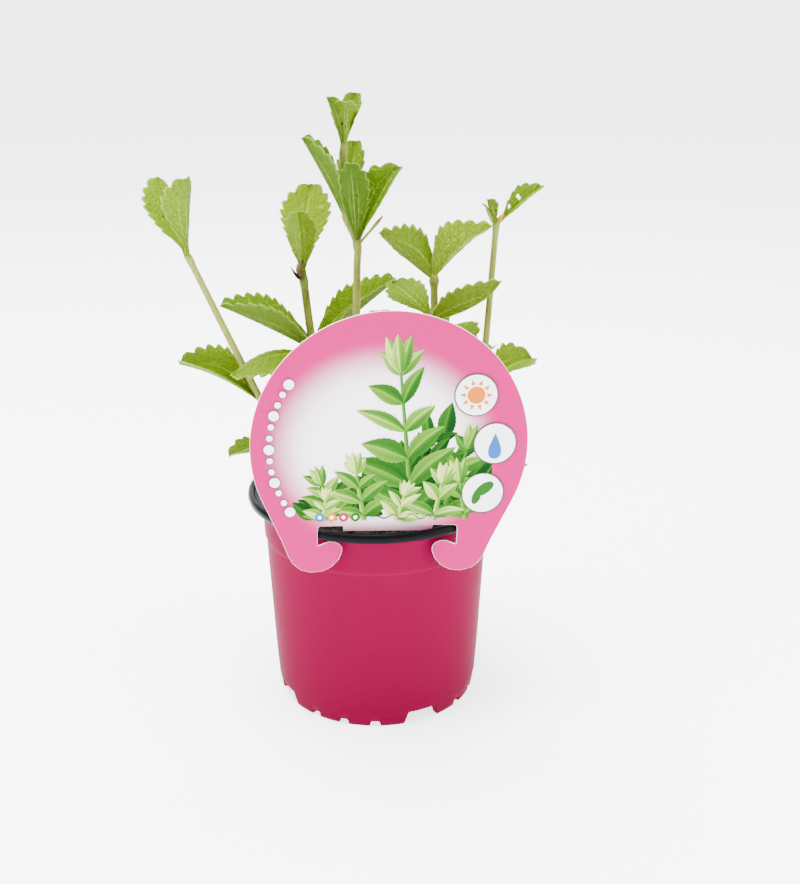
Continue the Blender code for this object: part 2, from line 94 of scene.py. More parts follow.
paper_sheet, sheet_mesh = add_piece("paper_sheet", sheet_points, sheet_faces)
sheet_mesh.shade_smooth()
paper = bpy.data.materials.new("studio_paper")
shader = set_finish(paper, (0.9, 0.905, 0.92, 1.0), 0.9, 0.1)
shader.inputs["Emission Color"].default_value = (0.95, 0.97, 1.0, 1.0)
shader.inputs["Emission Strength"].default_value = 2.5
sheet_mesh.materials.append(paper)


# Light: a bright white room with one large soft box overhead, a little to the left, and a weaker
# one on each side, whose pale light shows along both sides of the pot.
world = bpy.data.worlds.new("white_room")
bpy.context.scene.world = world
world.use_nodes = True
world.node_tree.nodes["Background"].inputs["Color"].default_value = (0.94, 0.965, 1.0, 1.0)
world.node_tree.nodes["Background"].inputs["Strength"].default_value = 1.2
for name, place, aim, size, power in (
    ("soft_box_top", (-0.2, 0.05, 1.5), (0.0, 0.0, 0.0), 1.1, 112.0),
    ("soft_box_left", (-1.1, -0.5, 0.6), (0.0, 0.0, 0.1), 0.9, 17.0),
    ("soft_box_right", (1.1, -0.4, 0.5), (0.0, 0.0, 0.1), 0.8, 17.0),
):
    lamp_data = bpy.data.lights.new(name, "AREA")
    lamp_data.size = size
    lamp_data.energy = power
    lamp = bpy.data.objects.new(name, lamp_data)
    lamp.location = place
    away = np.array(place) - np.array(aim)
    away = away / np.linalg.norm(away)
    lamp.rotation_euler = (math.acos(away[2]), 0.0, math.atan2(away[0], -away[1]))
    bpy.context.collection.objects.link(lamp)


# Pot: one thin two-colour sheet drawn into a cup, magenta outside, black inside and on its
# rolled rim. A ring of its section, in mm, turned round the pot's axis, with four wide gates
# round the foot and three small arches in each foot between them.
pot_axis_x = 11.5
pot_axis_y = -0.65
pot_turn_count = 720


def pot_foot_edge(turn):
    """Lowest edge of the sheet, in mm, at a turn in degrees.

    A foot stands at 0. Each side of a gate rises to 5.4 as 5.4 x x (3 - 2 x) over 3.4 degrees, and
    an arch is 2.3 sqrt(1 - x^6), with x its distance from the arch's middle over 2.9 degrees.
    """
    local = (turn + 18.0 + 45.0) % 90.0 - 45.0
    gate = np.clip((np.abs(local) - 34.0) / 3.4, 0.0, 1.0)
    edge = 5.4 * gate * gate * (3.0 - 2.0 * gate)
    for middle in (-18.0, 0.0, 18.0):
        across = np.clip(np.abs(local - middle) / 2.9, 0.0, 1.0)
        edge = np.maximum(edge, 2.3 * (1.0 - across ** 6) ** 0.5)
    return edge


# Radius and height in mm round the section: under the floor, down and up the foot, up the wall,
# round the lip, and down the inside again.
pot_section = np.array([
    (0.0, 5.4), (36.0, 5.4), (38.4, 5.0), (38.9, 3.5), (39.2, 0.2), (39.5, 0.0), (41.1, 0.0), (41.4, 0.25),
    (41.8, 2.5), (42.3, 5.6), (42.5, 6.6), (42.55, 7.6), (42.62, 8.6), (42.8, 11.0), (43.35, 20.0),
    (43.95, 32.0), (44.6, 46.0), (45.1, 56.0), (45.62, 68.6), (45.7, 69.3), (45.85, 69.75), (46.15, 70.1),
    (46.3, 70.6), (46.4, 73.0), (46.6, 78.0), (46.85, 84.2), (47.0, 85.0), (47.5, 85.7), (48.3, 86.2),
    (49.2, 86.2), (50.2, 85.8), (51.0, 85.5), (51.8, 85.6), (52.3, 86.1), (52.48, 86.9), (52.5, 87.6),
    (52.35, 88.3), (52.0, 88.85), (51.5, 89.2), (50.9, 89.3), (50.4, 89.05), (50.0, 88.4), (49.7, 87.75),
    (49.3, 87.3), (48.7, 87.05), (47.9, 86.7), (47.0, 86.0), (46.4, 85.2), (46.05, 84.2), (45.7, 78.0),
    (45.4, 70.2), (44.8, 69.0), (44.2, 56.0), (43.0, 30.0), (41.95, 11.5), (41.6, 9.0), (40.9, 7.2),
    (39.6, 6.4), (37.0, 6.3), (0.0, 6.3),
])
pot_turns = np.linspace(0.0, 360.0, pot_turn_count, endpoint=False)
pot_edge = pot_foot_edge(pot_turns)[:, None]
pot_radius = np.broadcast_to(pot_section[None, :, 0], (pot_turn_count, len(pot_section)))
pot_height = np.maximum(np.broadcast_to(pot_section[None, :, 1], pot_radius.shape), pot_edge)
pot_angle = np.radians(pot_turns - 90.0)[:, None]
pot_wobble = 1.0 + 0.0012 * np.sin(2.0 * pot_angle + 0.6) * np.clip(pot_height / 90.0, 0.0, 1.0)
pot_grid = np.stack([
    pot_axis_x + pot_radius * pot_wobble * np.cos(pot_angle),
    pot_axis_y + pot_radius * pot_wobble * np.sin(pot_angle),
    pot_height,
], axis=-1)
pot_columns = len(pot_section)
pot_index = np.arange(pot_turn_count * pot_columns).reshape(pot_turn_count, pot_columns)
pot_next = np.roll(pot_index, -1, axis=0)
pot_quads = np.stack([pot_index[:, :-1], pot_next[:, :-1], pot_next[:, 1:], pot_index[:, 1:]], axis=-1)
pot_points = (pot_grid.reshape(-1, 3) * 0.001).tolist()
pot_sheet, pot_mesh = add_piece("pot_sheet", pot_points, pot_quads.reshape(-1, 4).tolist())
pot_first_black_row = 30
pot_is_black = (np.arange(pot_columns - 1) >= pot_first_black_row).astype(np.int32)
pot_mesh.materials.append(bpy.data.materials.new("pot_magenta"))
pot_mesh.materials.append(bpy.data.materials.new("pot_black"))
pot_mesh.polygons.foreach_set("material_index", np.tile(pot_is_black, pot_turn_count))
pot_mesh.shade_smooth()
pot_mesh.validate()
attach(pot_sheet, "root")
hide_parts("pot")


def add_node(tree, kind, inputs, **settings):
    """A new node in a tree: first its settings, then a value or a link for each input named."""
    node = tree.nodes.new(kind)
    for name, value in settings.items():
        setattr(node, name, value)
    fill_inputs(tree, node, inputs)
    return node


def math_of(tree, operation, *values, clamp=False):
    """The output of a new math node, from values or other nodes' outputs."""
    inputs = dict(enumerate(values))
    return add_node(tree, "ShaderNodeMath", inputs, operation=operation, use_clamp=clamp).outputs[0]


def mix_of(tree, share, first, second):
    """The colour that goes from first to second, values or links, as the share goes from 0 to 1."""
    inputs = {0: share, 6: first, 7: second}
    return add_node(tree, "ShaderNodeMix", inputs, data_type="RGBA").outputs[2]


# The magenta layer is satin, with painted shade that makes it a little darker towards the foot and
# lighter towards the rim, and a few specks of peat dust; the black layer is glossier.
magenta = pot_mesh.materials[0]
magenta.use_nodes = True
tree = magenta.node_tree
place = add_node(tree, "ShaderNodeTexCoord", {})
split = add_node(tree, "ShaderNodeSeparateXYZ", {"Vector": place.outputs["Object"]})
height = add_node(tree, "ShaderNodeMapRange", {
    "From Min": 0.0, "From Max": 0.085, "Value": split.outputs["Z"],
})
# Painted shade: the magenta runs by height from a darker colour at the foot to a lighter one at the rim.
tone = mix_of(tree, height.outputs["Result"], (0.104, 0.0001, 0.017, 1.0), (0.145, 0.0001, 0.027, 1.0))
cloud = add_node(tree, "ShaderNodeTexNoise", {
    "Scale": 60.0, "Detail": 3.0, "Vector": place.outputs["Object"],
})
dots = add_node(tree, "ShaderNodeTexVoronoi", {"Scale": 70.0, "Vector": place.outputs["Object"]})
chosen = add_node(tree, "ShaderNodeSeparateColor", {"Color": dots.outputs["Color"]})
rare = math_of(tree, "GREATER_THAN", chosen.outputs["Red"], 0.93)
reach = math_of(tree, "MULTIPLY", chosen.outputs["Green"], 0.035)
near = math_of(tree, "LESS_THAN", dots.outputs["Distance"], reach)
dusty = mix_of(tree, math_of(tree, "MULTIPLY", rare, near), tone, (0.09, 0.006, 0.02, 1.0))
satin = add_node(tree, "ShaderNodeMapRange", {
    "To Min": 0.4, "To Max": 0.5, "Value": cloud.outputs["Fac"],
})
set_finish(magenta, dusty, satin.outputs["Result"], 0.008)
set_finish(pot_mesh.materials[1], (0.002, 0.0022, 0.003, 1.0), 0.3, 0.035)


# Soil: peat coloured near black to dark brown, up to about 9 mm below the rim, its top a lumpy disc
# with crumbs all over it. The disc's height is a sum of waves and fine noise; each crumb is a dented ball.
peat_level = 80.2
peat_radius = 44.9
crumb_spread = 43.6


def peat_height(x, y):
    """Height of the peat's top in mm over X and Y in mm: its level, slow waves and finer waves."""
    slow = 0.5 * np.sin(0.11 * x + 0.4) * np.cos(0.09 * y) + 0.35 * np.sin(0.21 * x - 0.17 * y)
    fine = 0.22 * np.sin(0.9 * x + 1.3 * np.sin(0.7 * y)) + 0.18 * np.cos(1.1 * y + np.sin(0.8 * x))
    return peat_level + slow + fine


def ring_quads(rows, sides, start):
    """Quads between closed rings of points, counted from start."""
    index = start + np.arange(rows * sides).reshape(rows, sides)
    turned = np.roll(index, -1, axis=1)
    return np.stack([index[:-1], turned[:-1], turned[1:], index[1:]], axis=-1).reshape(-1, 4)


random = np.random.default_rng(5)
peat_rings, peat_sides = 70, 220
peat_r = np.linspace(0.15, peat_radius, peat_rings)[:, None]
peat_a = np.linspace(0.0, 2.0 * math.pi, peat_sides, endpoint=False)[None, :]
peat_x, peat_y = peat_r * np.cos(peat_a), peat_r * np.sin(peat_a)
peat_z = peat_height(peat_x, peat_y) + random.uniform(-0.28, 0.28, peat_x.shape)
peat_grid = np.stack([peat_x + pot_axis_x, peat_y + pot_axis_y, peat_z], axis=-1).reshape(-1, 3)
peat_index = np.arange(peat_rings * peat_sides).reshape(peat_rings, peat_sides)
peat_next = np.roll(peat_index, -1, axis=1)
peat_quads = np.stack([peat_index[:-1], peat_index[1:], peat_next[1:], peat_next[:-1]], axis=-1)
peat_quads = peat_quads.reshape(-1, 4)
peat_cap = [tuple(peat_index[0])]

crumbs = 1500
crumb_rows, crumb_sides = 5, 7
crumb_lat = np.linspace(-math.pi / 2, math.pi / 2, crumb_rows)[:, None]
crumb_lon = np.linspace(0.0, 2.0 * math.pi, crumb_sides, endpoint=False)[None, :]
ball = np.stack([
    np.cos(crumb_lat) * np.cos(crumb_lon),
    np.cos(crumb_lat) * np.sin(crumb_lon),
    np.sin(crumb_lat) * np.ones_like(crumb_lon),
], axis=-1).reshape(-1, 3)
crumb_reach = crumb_spread * np.sqrt(random.uniform(0.0, 1.0, crumbs))
crumb_turn = random.uniform(0.0, 2.0 * math.pi, crumbs)
crumb_x, crumb_y = crumb_reach * np.cos(crumb_turn), crumb_reach * np.sin(crumb_turn)
crumb_size = random.uniform(0.4, 1.0, (crumbs, 1, 1)) * random.uniform(0.6, 1.6, (crumbs, 1, 3))
crumb_size = crumb_size * np.where(random.uniform(0, 1, (crumbs, 1, 1)) > 0.93, 1.7, 1.0)
crumb_dent = random.uniform(0.75, 1.2, (crumbs, len(ball), 1))
crumb_points = ball[None] * crumb_size * crumb_dent
crumb_z = peat_height(crumb_x, crumb_y) + 0.25
crumb_centre = np.stack([crumb_x + pot_axis_x, crumb_y + pot_axis_y, crumb_z], axis=-1)
crumb_points = (crumb_points + crumb_centre[:, None, :]).reshape(-1, 3)
crumb_starts = len(peat_grid) + np.arange(crumbs)[:, None, None] * len(ball)
crumb_quads = (ring_quads(crumb_rows, crumb_sides, 0) + crumb_starts).reshape(-1, 4)
peat_points = np.concatenate([peat_grid, crumb_points]) * 0.001
peat_faces = peat_quads.tolist() + peat_cap + crumb_quads.tolist()
peat_top, peat_mesh = add_piece("peat_top", peat_points.tolist(), peat_faces)
peat_mesh.shade_smooth()


def ramp_of(tree, mask, stops):
    """The colour of a ramp over a mask, from its stops (place 0 to 1, colour)."""
    node = add_node(tree, "ShaderNodeValToRGB", {"Fac": mask})
    elements = node.color_ramp.elements
    elements[0].position, elements[0].color = stops[0]
    elements[1].position, elements[1].color = stops[-1]
    for position, colour in stops[1:-1]:
        elements.new(position).color = colour
    return node.outputs["Color"]


peat = bpy.data.materials.new("peat")
peat.use_nodes = True
tree = peat.node_tree
place = add_node(tree, "ShaderNodeTexCoord", {})
grain = add_node(tree, "ShaderNodeTexNoise", {
    "Scale": 420.0, "Detail": 6.0, "Vector": place.outputs["Object"],
})
brown = ramp_of(tree, grain.outputs["Fac"], [
    (0.35, (0.003, 0.002, 0.0015, 1.0)), (0.75, (0.026, 0.015, 0.009, 1.0)),
])
set_finish(peat, brown, 0.95, 0.2)
peat_mesh.materials.append(peat)
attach(peat_top, "root")
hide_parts("soil")


# Card: thin board cut to a disc with two hooked arms below and a tongue between them, pushed on
# the rim. Both faces carry the same pink ground that pales to white in the middle; the cut edge
# is the board's own off-white.
card_turn = math.radians(6.2)
card_roll = math.radians(2.0)
card_roll_centre = 88.0
card_shift = 0.4
card_distance = 46.3
card_radius = 50.9
card_centre = 121.2


def card_place(across, height, depth):
    """Points in mm on the card from across, height and depth in front of its middle plane.

    The card is rolled clockwise about its roll centre and then turned to +X round the pot's axis.
    """
    rise = height - card_roll_centre
    u = across * math.cos(card_roll) + rise * math.sin(card_roll) + card_shift
    v = rise * math.cos(card_roll) - across * math.sin(card_roll) + card_roll_centre
    out = card_distance + depth
    x = math.sin(card_turn) * out + math.cos(card_turn) * u + pot_axis_x
    y = -math.cos(card_turn) * out + math.sin(card_turn) * u + pot_axis_y
    return np.stack(np.broadcast_arrays(x, y, v), axis=-1)


card_arc = np.radians(np.linspace(90.0, -24.0, 90))
card_disc = card_radius * np.stack([np.cos(card_arc), np.sin(card_arc)], axis=1) + (0.0, card_centre)
# The hook's outline: its points, smoothed by a window of 0.55 steps.
card_hook = np.array([
    (39.2, 84.2), (37.0, 78.4), (35.3, 75.3), (32.4, 72.8), (28.5, 71.7), (24.3, 72.1), (20.7, 74.0),
    (18.2, 76.9), (17.0, 80.0), (17.1, 82.0), (18.2, 83.4), (20.2, 84.2), (22.3, 84.2), (24.2, 83.4),
    (26.2, 82.6),
])
hook_step = np.arange(len(card_hook))
fine_step = np.linspace(0, len(card_hook) - 1, 120)
window = np.exp(-((fine_step[:, None] - hook_step[None, :]) / 0.55) ** 2)
hook_fine = (window @ card_hook) / window.sum(axis=1, keepdims=True)
hook_fine[0], hook_fine[-1] = card_hook[0], card_hook[-1]
card_slot = np.array([(26.2, 89.4), (25.9, 90.2), (25.0, 90.6), (17.0, 90.6), (16.7, 90.3), (16.7, 88.5)])
card_half = np.concatenate([card_disc, hook_fine, card_slot])
card_outline = np.concatenate([card_half, card_half[::-1][:-1] * (-1.0, 1.0)])
card_count = len(card_outline)
# Rings through the board, depth and inset in mm, which round its edges.
card_layers = [(0.3, 0.12), (0.24, 0.03), (0.12, 0.0), (-0.12, 0.0), (-0.24, 0.03), (-0.3, 0.12)]
card_points, card_flat = [], []
card_normal = np.roll(card_outline, -1, axis=0) - np.roll(card_outline, 1, axis=0)
card_normal = np.stack([-card_normal[:, 1], card_normal[:, 0]], axis=1)
card_normal = card_normal / np.linalg.norm(card_normal, axis=1, keepdims=True)
for depth, inset in card_layers:
    ring = card_outline - card_normal * inset
    card_points.append(card_place(ring[:, 0], ring[:, 1], depth))
    card_flat.append(np.column_stack([ring, np.zeros(card_count)]))
card_faces = [tuple(reversed(range(card_count)))]
card_faces += ring_quads(len(card_layers), card_count, 0).tolist()
card_faces.append(tuple(range((len(card_layers) - 1) * card_count, len(card_layers) * card_count)))
card_points = (np.concatenate(card_points) * 0.001).tolist()
card_board, card_mesh = add_piece("card_board", card_points, card_faces)
for name in ("card_print", "card_core"):
    card_mesh.materials.append(bpy.data.materials.new(name))
card_is_core = np.ones(len(card_faces), np.int32)
card_is_core[[0, -1]] = 0
card_mesh.polygons.foreach_set("material_index", card_is_core)
card_face_map = card_mesh.attributes.new("print_place", "FLOAT_VECTOR", "POINT")
card_face_map.data.foreach_set("vector", np.concatenate(card_flat).ravel())
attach(card_board, "root")
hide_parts("label_card")

# The ground's colour by distance from (-3, 121) on the card: white within 22 mm, pink past 45 mm,
# with heights stretched by 1.08.
ground = card_mesh.materials[0]
ground.use_nodes = True
tree = ground.node_tree
place = add_node(tree, "ShaderNodeAttribute", {}, attribute_name="print_place")
shifted = add_node(tree, "ShaderNodeVectorMath", {
    0: place.outputs["Vector"], 1: (-3.0, 121.0, 0.0),
}, operation="SUBTRACT")
squeezed = add_node(tree, "ShaderNodeVectorMath", {
    0: shifted.outputs["Vector"], 1: (1.0, 1.08, 1.0),
}, operation="MULTIPLY")
far = add_node(tree, "ShaderNodeVectorMath", {0: squeezed.outputs["Vector"]}, operation="LENGTH")
share = add_node(tree, "ShaderNodeMapRange", {
    "From Min": 22.0, "From Max": 45.0, "Value": far.outputs["Value"],
}, interpolation_type="SMOOTHERSTEP")
tint = mix_of(tree, share.outputs["Result"], (0.95, 0.92, 0.935, 1.0), (0.42, 0.0033, 0.118, 1.0))
set_finish(ground, tint, 0.5, 0.03)
set_finish(card_mesh.materials[1], (0.84, 0.78, 0.7, 1.0), 0.8, 0.5)


# Card print, a layout of its own in the same kind of colours: sprigs of plain leaves that rise
# from the bottom, three pictogram discs at the right (sun, drop, leaf), a row of dots round the
# left, and four rings and a wavy line at the bottom. Each shape is a film laid on the card.
print_lift = 0.31
print_film = 0.0014
flat_lift = 0.54
flat_film = 0.015
print_points, print_faces, print_tones = [], [], []


def print_shape(across, height, faces, tones, level):
    """Adds one flat shape that lies level films up, with a tone (0 dark to 1 light) at each point."""
    start = sum(len(points) for points in print_points)
    print_points.append(card_place(np.asarray(across), np.asarray(height), print_lift + print_film * level))
    print_faces.extend([tuple(v + start for v in face) for face in faces])
    print_tones.append(tones)


def print_leaf(root, angle, length, width, shade, level, bend):
    """A leaf: half width W/2 sin(pi s^0.8)^0.9 about a bowed midrib, with small teeth.

    Its two halves are of unlike shade, and its midrib and rim are paler.
    """
    s = np.linspace(0.0, 1.0, 40)[:, None]
    u = np.array([-1.0, -0.5, -0.04, 0.04, 0.5, 1.0])[None, :]
    half = 0.5 * width * np.sin(np.pi * s ** 0.8) ** 0.9
    half = half * (1.0 + 0.07 * np.abs(np.sin(np.pi * 9 * s)) * (s > 0.25))
    bow = bend * length * s * (1.0 - s)
    along = length * s + 0.0 * u
    side = bow + u * half
    across = root[0] + along * math.cos(angle) - side * math.sin(angle)
    height = root[1] + along * math.sin(angle) + side * math.cos(angle)
    index = np.arange(s.size * u.size).reshape(s.size, u.size)
    quads = np.stack([index[:-1, :-1], index[1:, :-1], index[1:, 1:], index[:-1, 1:]], axis=-1)
    quads = quads.reshape(-1, 4)
    lit = np.where(u > 0, 0.14, -0.06) + 0.16 * (np.abs(u) < 0.1) + 0.1 * (np.abs(u) > 0.9)
    tone = np.clip(shade + lit + 0.15 * s, 0.0, 1.0)
    print_shape(across.ravel(), height.ravel(), quads.tolist(), tone.ravel(), level)


sprigs = np.random.default_rng(21)
stalk_points = 12
level = 0
for _ in range(72):
    across = sprigs.uniform(-27.0, 32.0)
    crown = 102.0 + 24.0 * math.exp(-((across - 17.0) / 15.0) ** 2)
    root = (across, sprigs.uniform(93.5, crown))
    angle = math.pi / 2 + sprigs.uniform(-1.25, 1.25)
    size = sprigs.uniform(9.0, 15.0)
    print_leaf(root, angle, size, size * sprigs.uniform(0.34, 0.5), sprigs.uniform(0.0, 0.2), level, 0.1)
    level += 1
for root, lean, reach, pairs, leaf_length, shade in (
    ((20.0, 95.0), 1.25, 27.0, 3, 17.0, 0.2), ((-20.0, 93.0), 1.9, 15.0, 3, 13.0, 0.3),
    ((9.0, 93.0), 1.68, 57.0, 5, 24.0, 0.3), ((29.0, 93.0), 1.75, 16.0, 2, 15.0, 0.36),
    ((-9.0, 93.0), 1.75, 19.0, 3, 14.0, 0.44), ((17.0, 92.8), 1.4, 15.0, 2, 14.0, 0.5),
    ((-24.0, 93.0), 1.5, 8.0, 2, 9.0, 0.56), ((3.0, 92.8), 1.3, 10.0, 2, 11.0, 0.58),
):
    ends = np.array([root[0] + reach * math.cos(lean), root[1] + reach * math.sin(lean)])
    stalk_s = np.linspace(0.0, 1.0, stalk_points)
    stalk_side = np.array([-math.sin(lean), math.cos(lean)]) * (1.1 - 0.6 * stalk_s)[:, None]
    stalk = np.array(root) + (ends - np.array(root)) * stalk_s[:, None]
    stalk = np.concatenate([stalk - stalk_side, stalk + stalk_side])
    stalk_faces = [(i, i + 1, i + 1 + stalk_points, i + stalk_points) for i in range(stalk_points - 1)]
    stalk_tone = np.repeat([shade + 0.1, shade + 0.45], stalk_points)
    print_shape(stalk[:, 0], stalk[:, 1], stalk_faces, np.clip(stalk_tone, 0.0, 1.0), level)
    level += 1
    for pair in range(pairs + 1):
        share = (pair + 0.3) / (pairs + 0.4)
        node = np.array(root) * (1.0 - share) + ends * share
        size = leaf_length * (1.0 - 0.42 * share)
        spread = 1.25 - 0.6 * share + sprigs.uniform(-0.1, 0.1)
        for way in (-1.0, 1.0):
            angle = lean + way * (spread + sprigs.uniform(-0.22, 0.22))
            tone = shade + sprigs.uniform(-0.12, 0.16) + 0.1 * share
            width = size * sprigs.uniform(0.3, 0.44)
            print_leaf(node, angle, size * sprigs.uniform(0.8, 1.15), width, tone, level, -way * 0.2)
            level += 1
    for way in (-0.35, 0.3, 0.0):
        tone = shade + 0.25 + way / 4
        print_leaf(ends, lean + way, leaf_length * 0.6, leaf_length * 0.2, tone, level, 0.05)
        level += 1
print_points = (np.concatenate(print_points) * 0.001).tolist()
card_leaves, leaf_mesh = add_piece("card_print_leaves", print_points, print_faces)
leaf_tone = leaf_mesh.attributes.new("tone", "FLOAT", "POINT")
leaf_tone.data.foreach_set("value", np.concatenate(print_tones))
ink = bpy.data.materials.new("print_green")
ink.use_nodes = True
tree = ink.node_tree
tone = add_node(tree, "ShaderNodeAttribute", {}, attribute_name="tone")
greens = ramp_of(tree, tone.outputs["Fac"], [
    (0.0, (0.001, 0.009, 0.002, 1.0)), (0.25, (0.004, 0.04, 0.004, 1.0)), (0.5, (0.022, 0.11, 0.007, 1.0)),
    (0.75, (0.12, 0.27, 0.02, 1.0)), (1.0, (0.5, 0.62, 0.16, 1.0)),
])
set_finish(ink, greens, 0.5, 0.03)
leaf_mesh.materials.append(ink)
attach(card_leaves, "root")

# The discs, dots, rings and line: filled shapes of flat colour, one material for each colour.
flat_colours = {
    "print_white": (0.95, 0.95, 0.94), "print_grey": (0.04, 0.05, 0.045), "print_sun": (0.6, 0.13, 0.001),
    "print_blue": (0.01, 0.1, 0.33), "print_leaf": (0.009, 0.09, 0.005), "print_rose": (0.3, 0.002, 0.02),
}
flat_shapes = {name: [[], []] for name in flat_colours}


def flat_fan(name, outline, level):
    """Adds a filled flat shape from its outline (across, height), a fan about its mean."""
    outline = np.asarray(outline, float)
    middle = outline.mean(axis=0, keepdims=True)
    points = np.concatenate([middle, outline])
    held, faces = flat_shapes[name]
    start = sum(len(points) for points in held)
    held.append(card_place(points[:, 0], points[:, 1], flat_lift + flat_film * level))
    count = len(outline)
    faces.extend([(start, start + 1 + i, start + 1 + (i + 1) % count) for i in range(count)])


def round_outline(centre, radius, count=64):
    """Points round a circle of that radius."""
    turn = np.linspace(0.0, 2.0 * math.pi, count, endpoint=False)
    return np.stack([centre[0] + radius * np.cos(turn), centre[1] + radius * np.sin(turn)], axis=1)


for centre in ((30.5, 141.5), (38.5, 123.0), (35.0, 103.5)):
    flat_fan("print_grey", round_outline(centre, 8.1), 1)
    flat_fan("print_white", round_outline(centre, 7.6), 2)
sun = (30.5, 141.5)
for ray in range(10):
    turn = 2.0 * math.pi * ray / 10
    tip = (sun[0] + 6.2 * math.cos(turn), sun[1] + 6.2 * math.sin(turn))
    feet = [(sun[0] + 4.0 * math.cos(turn + d), sun[1] + 4.0 * math.sin(turn + d)) for d in (-0.22, 0.22)]
    flat_fan("print_sun", [feet[0], tip, feet[1]], 3)
flat_fan("print_sun", round_outline(sun, 3.3), 3)
outline_turn = np.linspace(0.0, 2.0 * math.pi, 60, endpoint=False)
drop_half = 3.6 * np.sin(outline_turn) * np.sin(outline_turn / 2.0) ** 1.6
flat_fan("print_blue", np.stack([38.5 + drop_half, 122.2 + 5.2 * np.cos(outline_turn)], axis=1), 3)
leaf_x = 5.6 * np.cos(outline_turn)
leaf_y = 2.9 * np.sin(outline_turn) * np.abs(np.sin(outline_turn / 2.0 + 0.9)) ** 0.5
tilt = math.radians(50.0)
flat_fan("print_leaf", np.stack([
    35.0 + leaf_x * math.cos(tilt) - leaf_y * math.sin(tilt),
    103.5 + leaf_x * math.sin(tilt) + leaf_y * math.cos(tilt),
], axis=1), 3)
for dot in range(13):
    turn = math.radians(147.0 + 5.6 * dot)
    centre = (44.0 * math.cos(turn), card_centre + 44.0 * math.sin(turn))
    radius = 1.15 if dot % 3 else 1.9
    flat_fan("print_grey", round_outline(centre, radius + 0.28, 24), 1)
    flat_fan("print_white", round_outline(centre, radius, 24), 2)
for ring, name in enumerate(("print_blue", "print_sun", "print_rose", "print_leaf")):
    flat_fan(name, round_outline((-25.5 + 4.4 * ring, 94.2), 1.7, 40), 2)
    flat_fan("print_white", round_outline((-25.5 + 4.4 * ring, 94.2), 0.75, 24), 3)
for piece in range(44):
    x0, x1 = -6.0 + 0.62 * piece, -6.0 + 0.62 * (piece + 1)
    y0, y1 = [94.3 + 1.1 * math.sin(0.9 * x) * (1.0 - ((x - 7.5) / 14.5) ** 2) for x in (x0, x1)]
    flat_fan("print_grey", [(x0, y0 - 0.24), (x1, y1 - 0.24), (x1, y1 + 0.24), (x0, y0 + 0.24)], 2)
for name, (points, faces) in flat_shapes.items():
    film, mesh = add_piece("card_" + name, (np.concatenate(points) * 0.001).tolist(), faces)
    colour = bpy.data.materials.new(name)
    set_finish(colour, (*flat_colours[name], 1.0), 0.42, 0.1)
    mesh.materials.append(colour)
    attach(film, "root")


# Leafy shoots: soft hairy stems with toothed three-veined leaves in pairs, the leaves grown from
# the stem's joints. Each leaf is a thin shell from a surface function, each stem a ribbed tube.
def blade_surface(leaf, u, s):
    """Upper and lower surface of a leaf in mm, at u across (-1 to 1) and s along (0 to 1).

    rib = base + L s along + L (arch s (1 - s) + curl (s - s^4)) face + L sweep s (1 - s) level
    half = W/2 (s/w)^k ((1 - s)/(1 - w))^p (1 - 0.1 sin(pi s/w)) + tooth, with k = p w/(1 - w)
    point = rib + u half cos(fold) side + v(u) half sin(fold) face + relief(u, s) face
    The half width is never under 1.45 - 1.35 s. A tooth stands out by 0.078 W and forwards by
    0.028 L. The relief is the rim's waves, the bulges between veins, their grooves and the tip's lift.
    """
    turn, rise, roll, fold = (math.radians(leaf[key]) for key in ("turn", "rise", "roll", "fold"))
    length, width, widest, point = leaf["length"], leaf["width"], leaf["widest"], leaf["point"]
    along = np.array([math.cos(rise) * math.cos(turn), math.cos(rise) * math.sin(turn), math.sin(rise)])
    flat = np.array([-math.sin(turn), math.cos(turn), 0.0])
    upper = np.cross(along, flat)
    side = flat * math.cos(roll) + upper * math.sin(roll)
    face = upper * math.cos(roll) - flat * math.sin(roll)
    u, s = np.broadcast_arrays(u, s)
    phase = np.clip((s - 0.26) / 0.725, 0.0, 0.9999) * leaf["teeth"]
    tooth = np.sin(np.pi * (phase % 1.0) ** 1.7) ** 0.6 * ((s > 0.26) & (s < 0.985))
    share = (s / widest) ** (point * widest / (1.0 - widest)) * ((1.0 - s) / (1.0 - widest)) ** point
    share = share * (1.0 - 0.1 * np.sin(np.pi * np.minimum(s / widest, 1.0)))
    half = np.maximum(1.45 - 1.35 * s, 0.5 * width * share) + 0.078 * width * tooth * np.abs(u) ** 3
    bow = length * (leaf["arch"] * s * (1.0 - s) + leaf["curl"] * (s - s ** 4))
    seed = leaf["seed"]
    wave = 0.6 * np.sin(9.0 * s + seed) * np.abs(u) ** 3 * s + 0.25 * np.sin(5.0 * s + 2.0 * seed) * u
    wave = wave + leaf["tip"] * np.clip((s - 0.72) / 0.28, 0.0, 1.0) ** 2 * (1.0 + 0.3 * np.sin(seed))
    bulge = 0.42 * np.abs(np.sin(np.pi * (s - 0.2 * np.abs(u)) * (leaf["teeth"] + 3.0)))
    bulge = bulge * (1.0 - np.abs(u) ** 4) * np.clip(np.abs(u) * 5.0, 0.0, 1.0) * np.clip(s * 4.0, 0.0, 1.0)
    vein = np.exp(-((np.abs(u) - 0.45 * (1.0 - 0.5 * s)) / 0.06) ** 2) * (s < 0.8)
    rib_line = np.exp(-(u * half / 0.55) ** 2)
    rounded = (np.sqrt(u * u + 0.02) - 0.1414) / 0.8685
    lift = half * rounded * math.sin(fold) + bow + wave + bulge - 0.14 * vein - 0.2 * rib_line
    spread = u * half * math.cos(fold)
    steep = max(math.cos(fold) * math.cos(math.atan(abs(leaf["arch"]) + abs(leaf["curl"]))), 0.5)
    depth = 0.34 / steep + 0.5 * rib_line * (1.0 - 0.7 * s) + 0.16 * vein
    forward = length * s + 0.028 * length * tooth * np.abs(u) ** 3
    swing = length * leaf["sweep"] * s * (1.0 - s)
    top = leaf["base"] + forward[..., None] * along + swing[..., None] * flat + spread[..., None] * side
    top = top + lift[..., None] * face
    return top, top - depth[..., None] * face


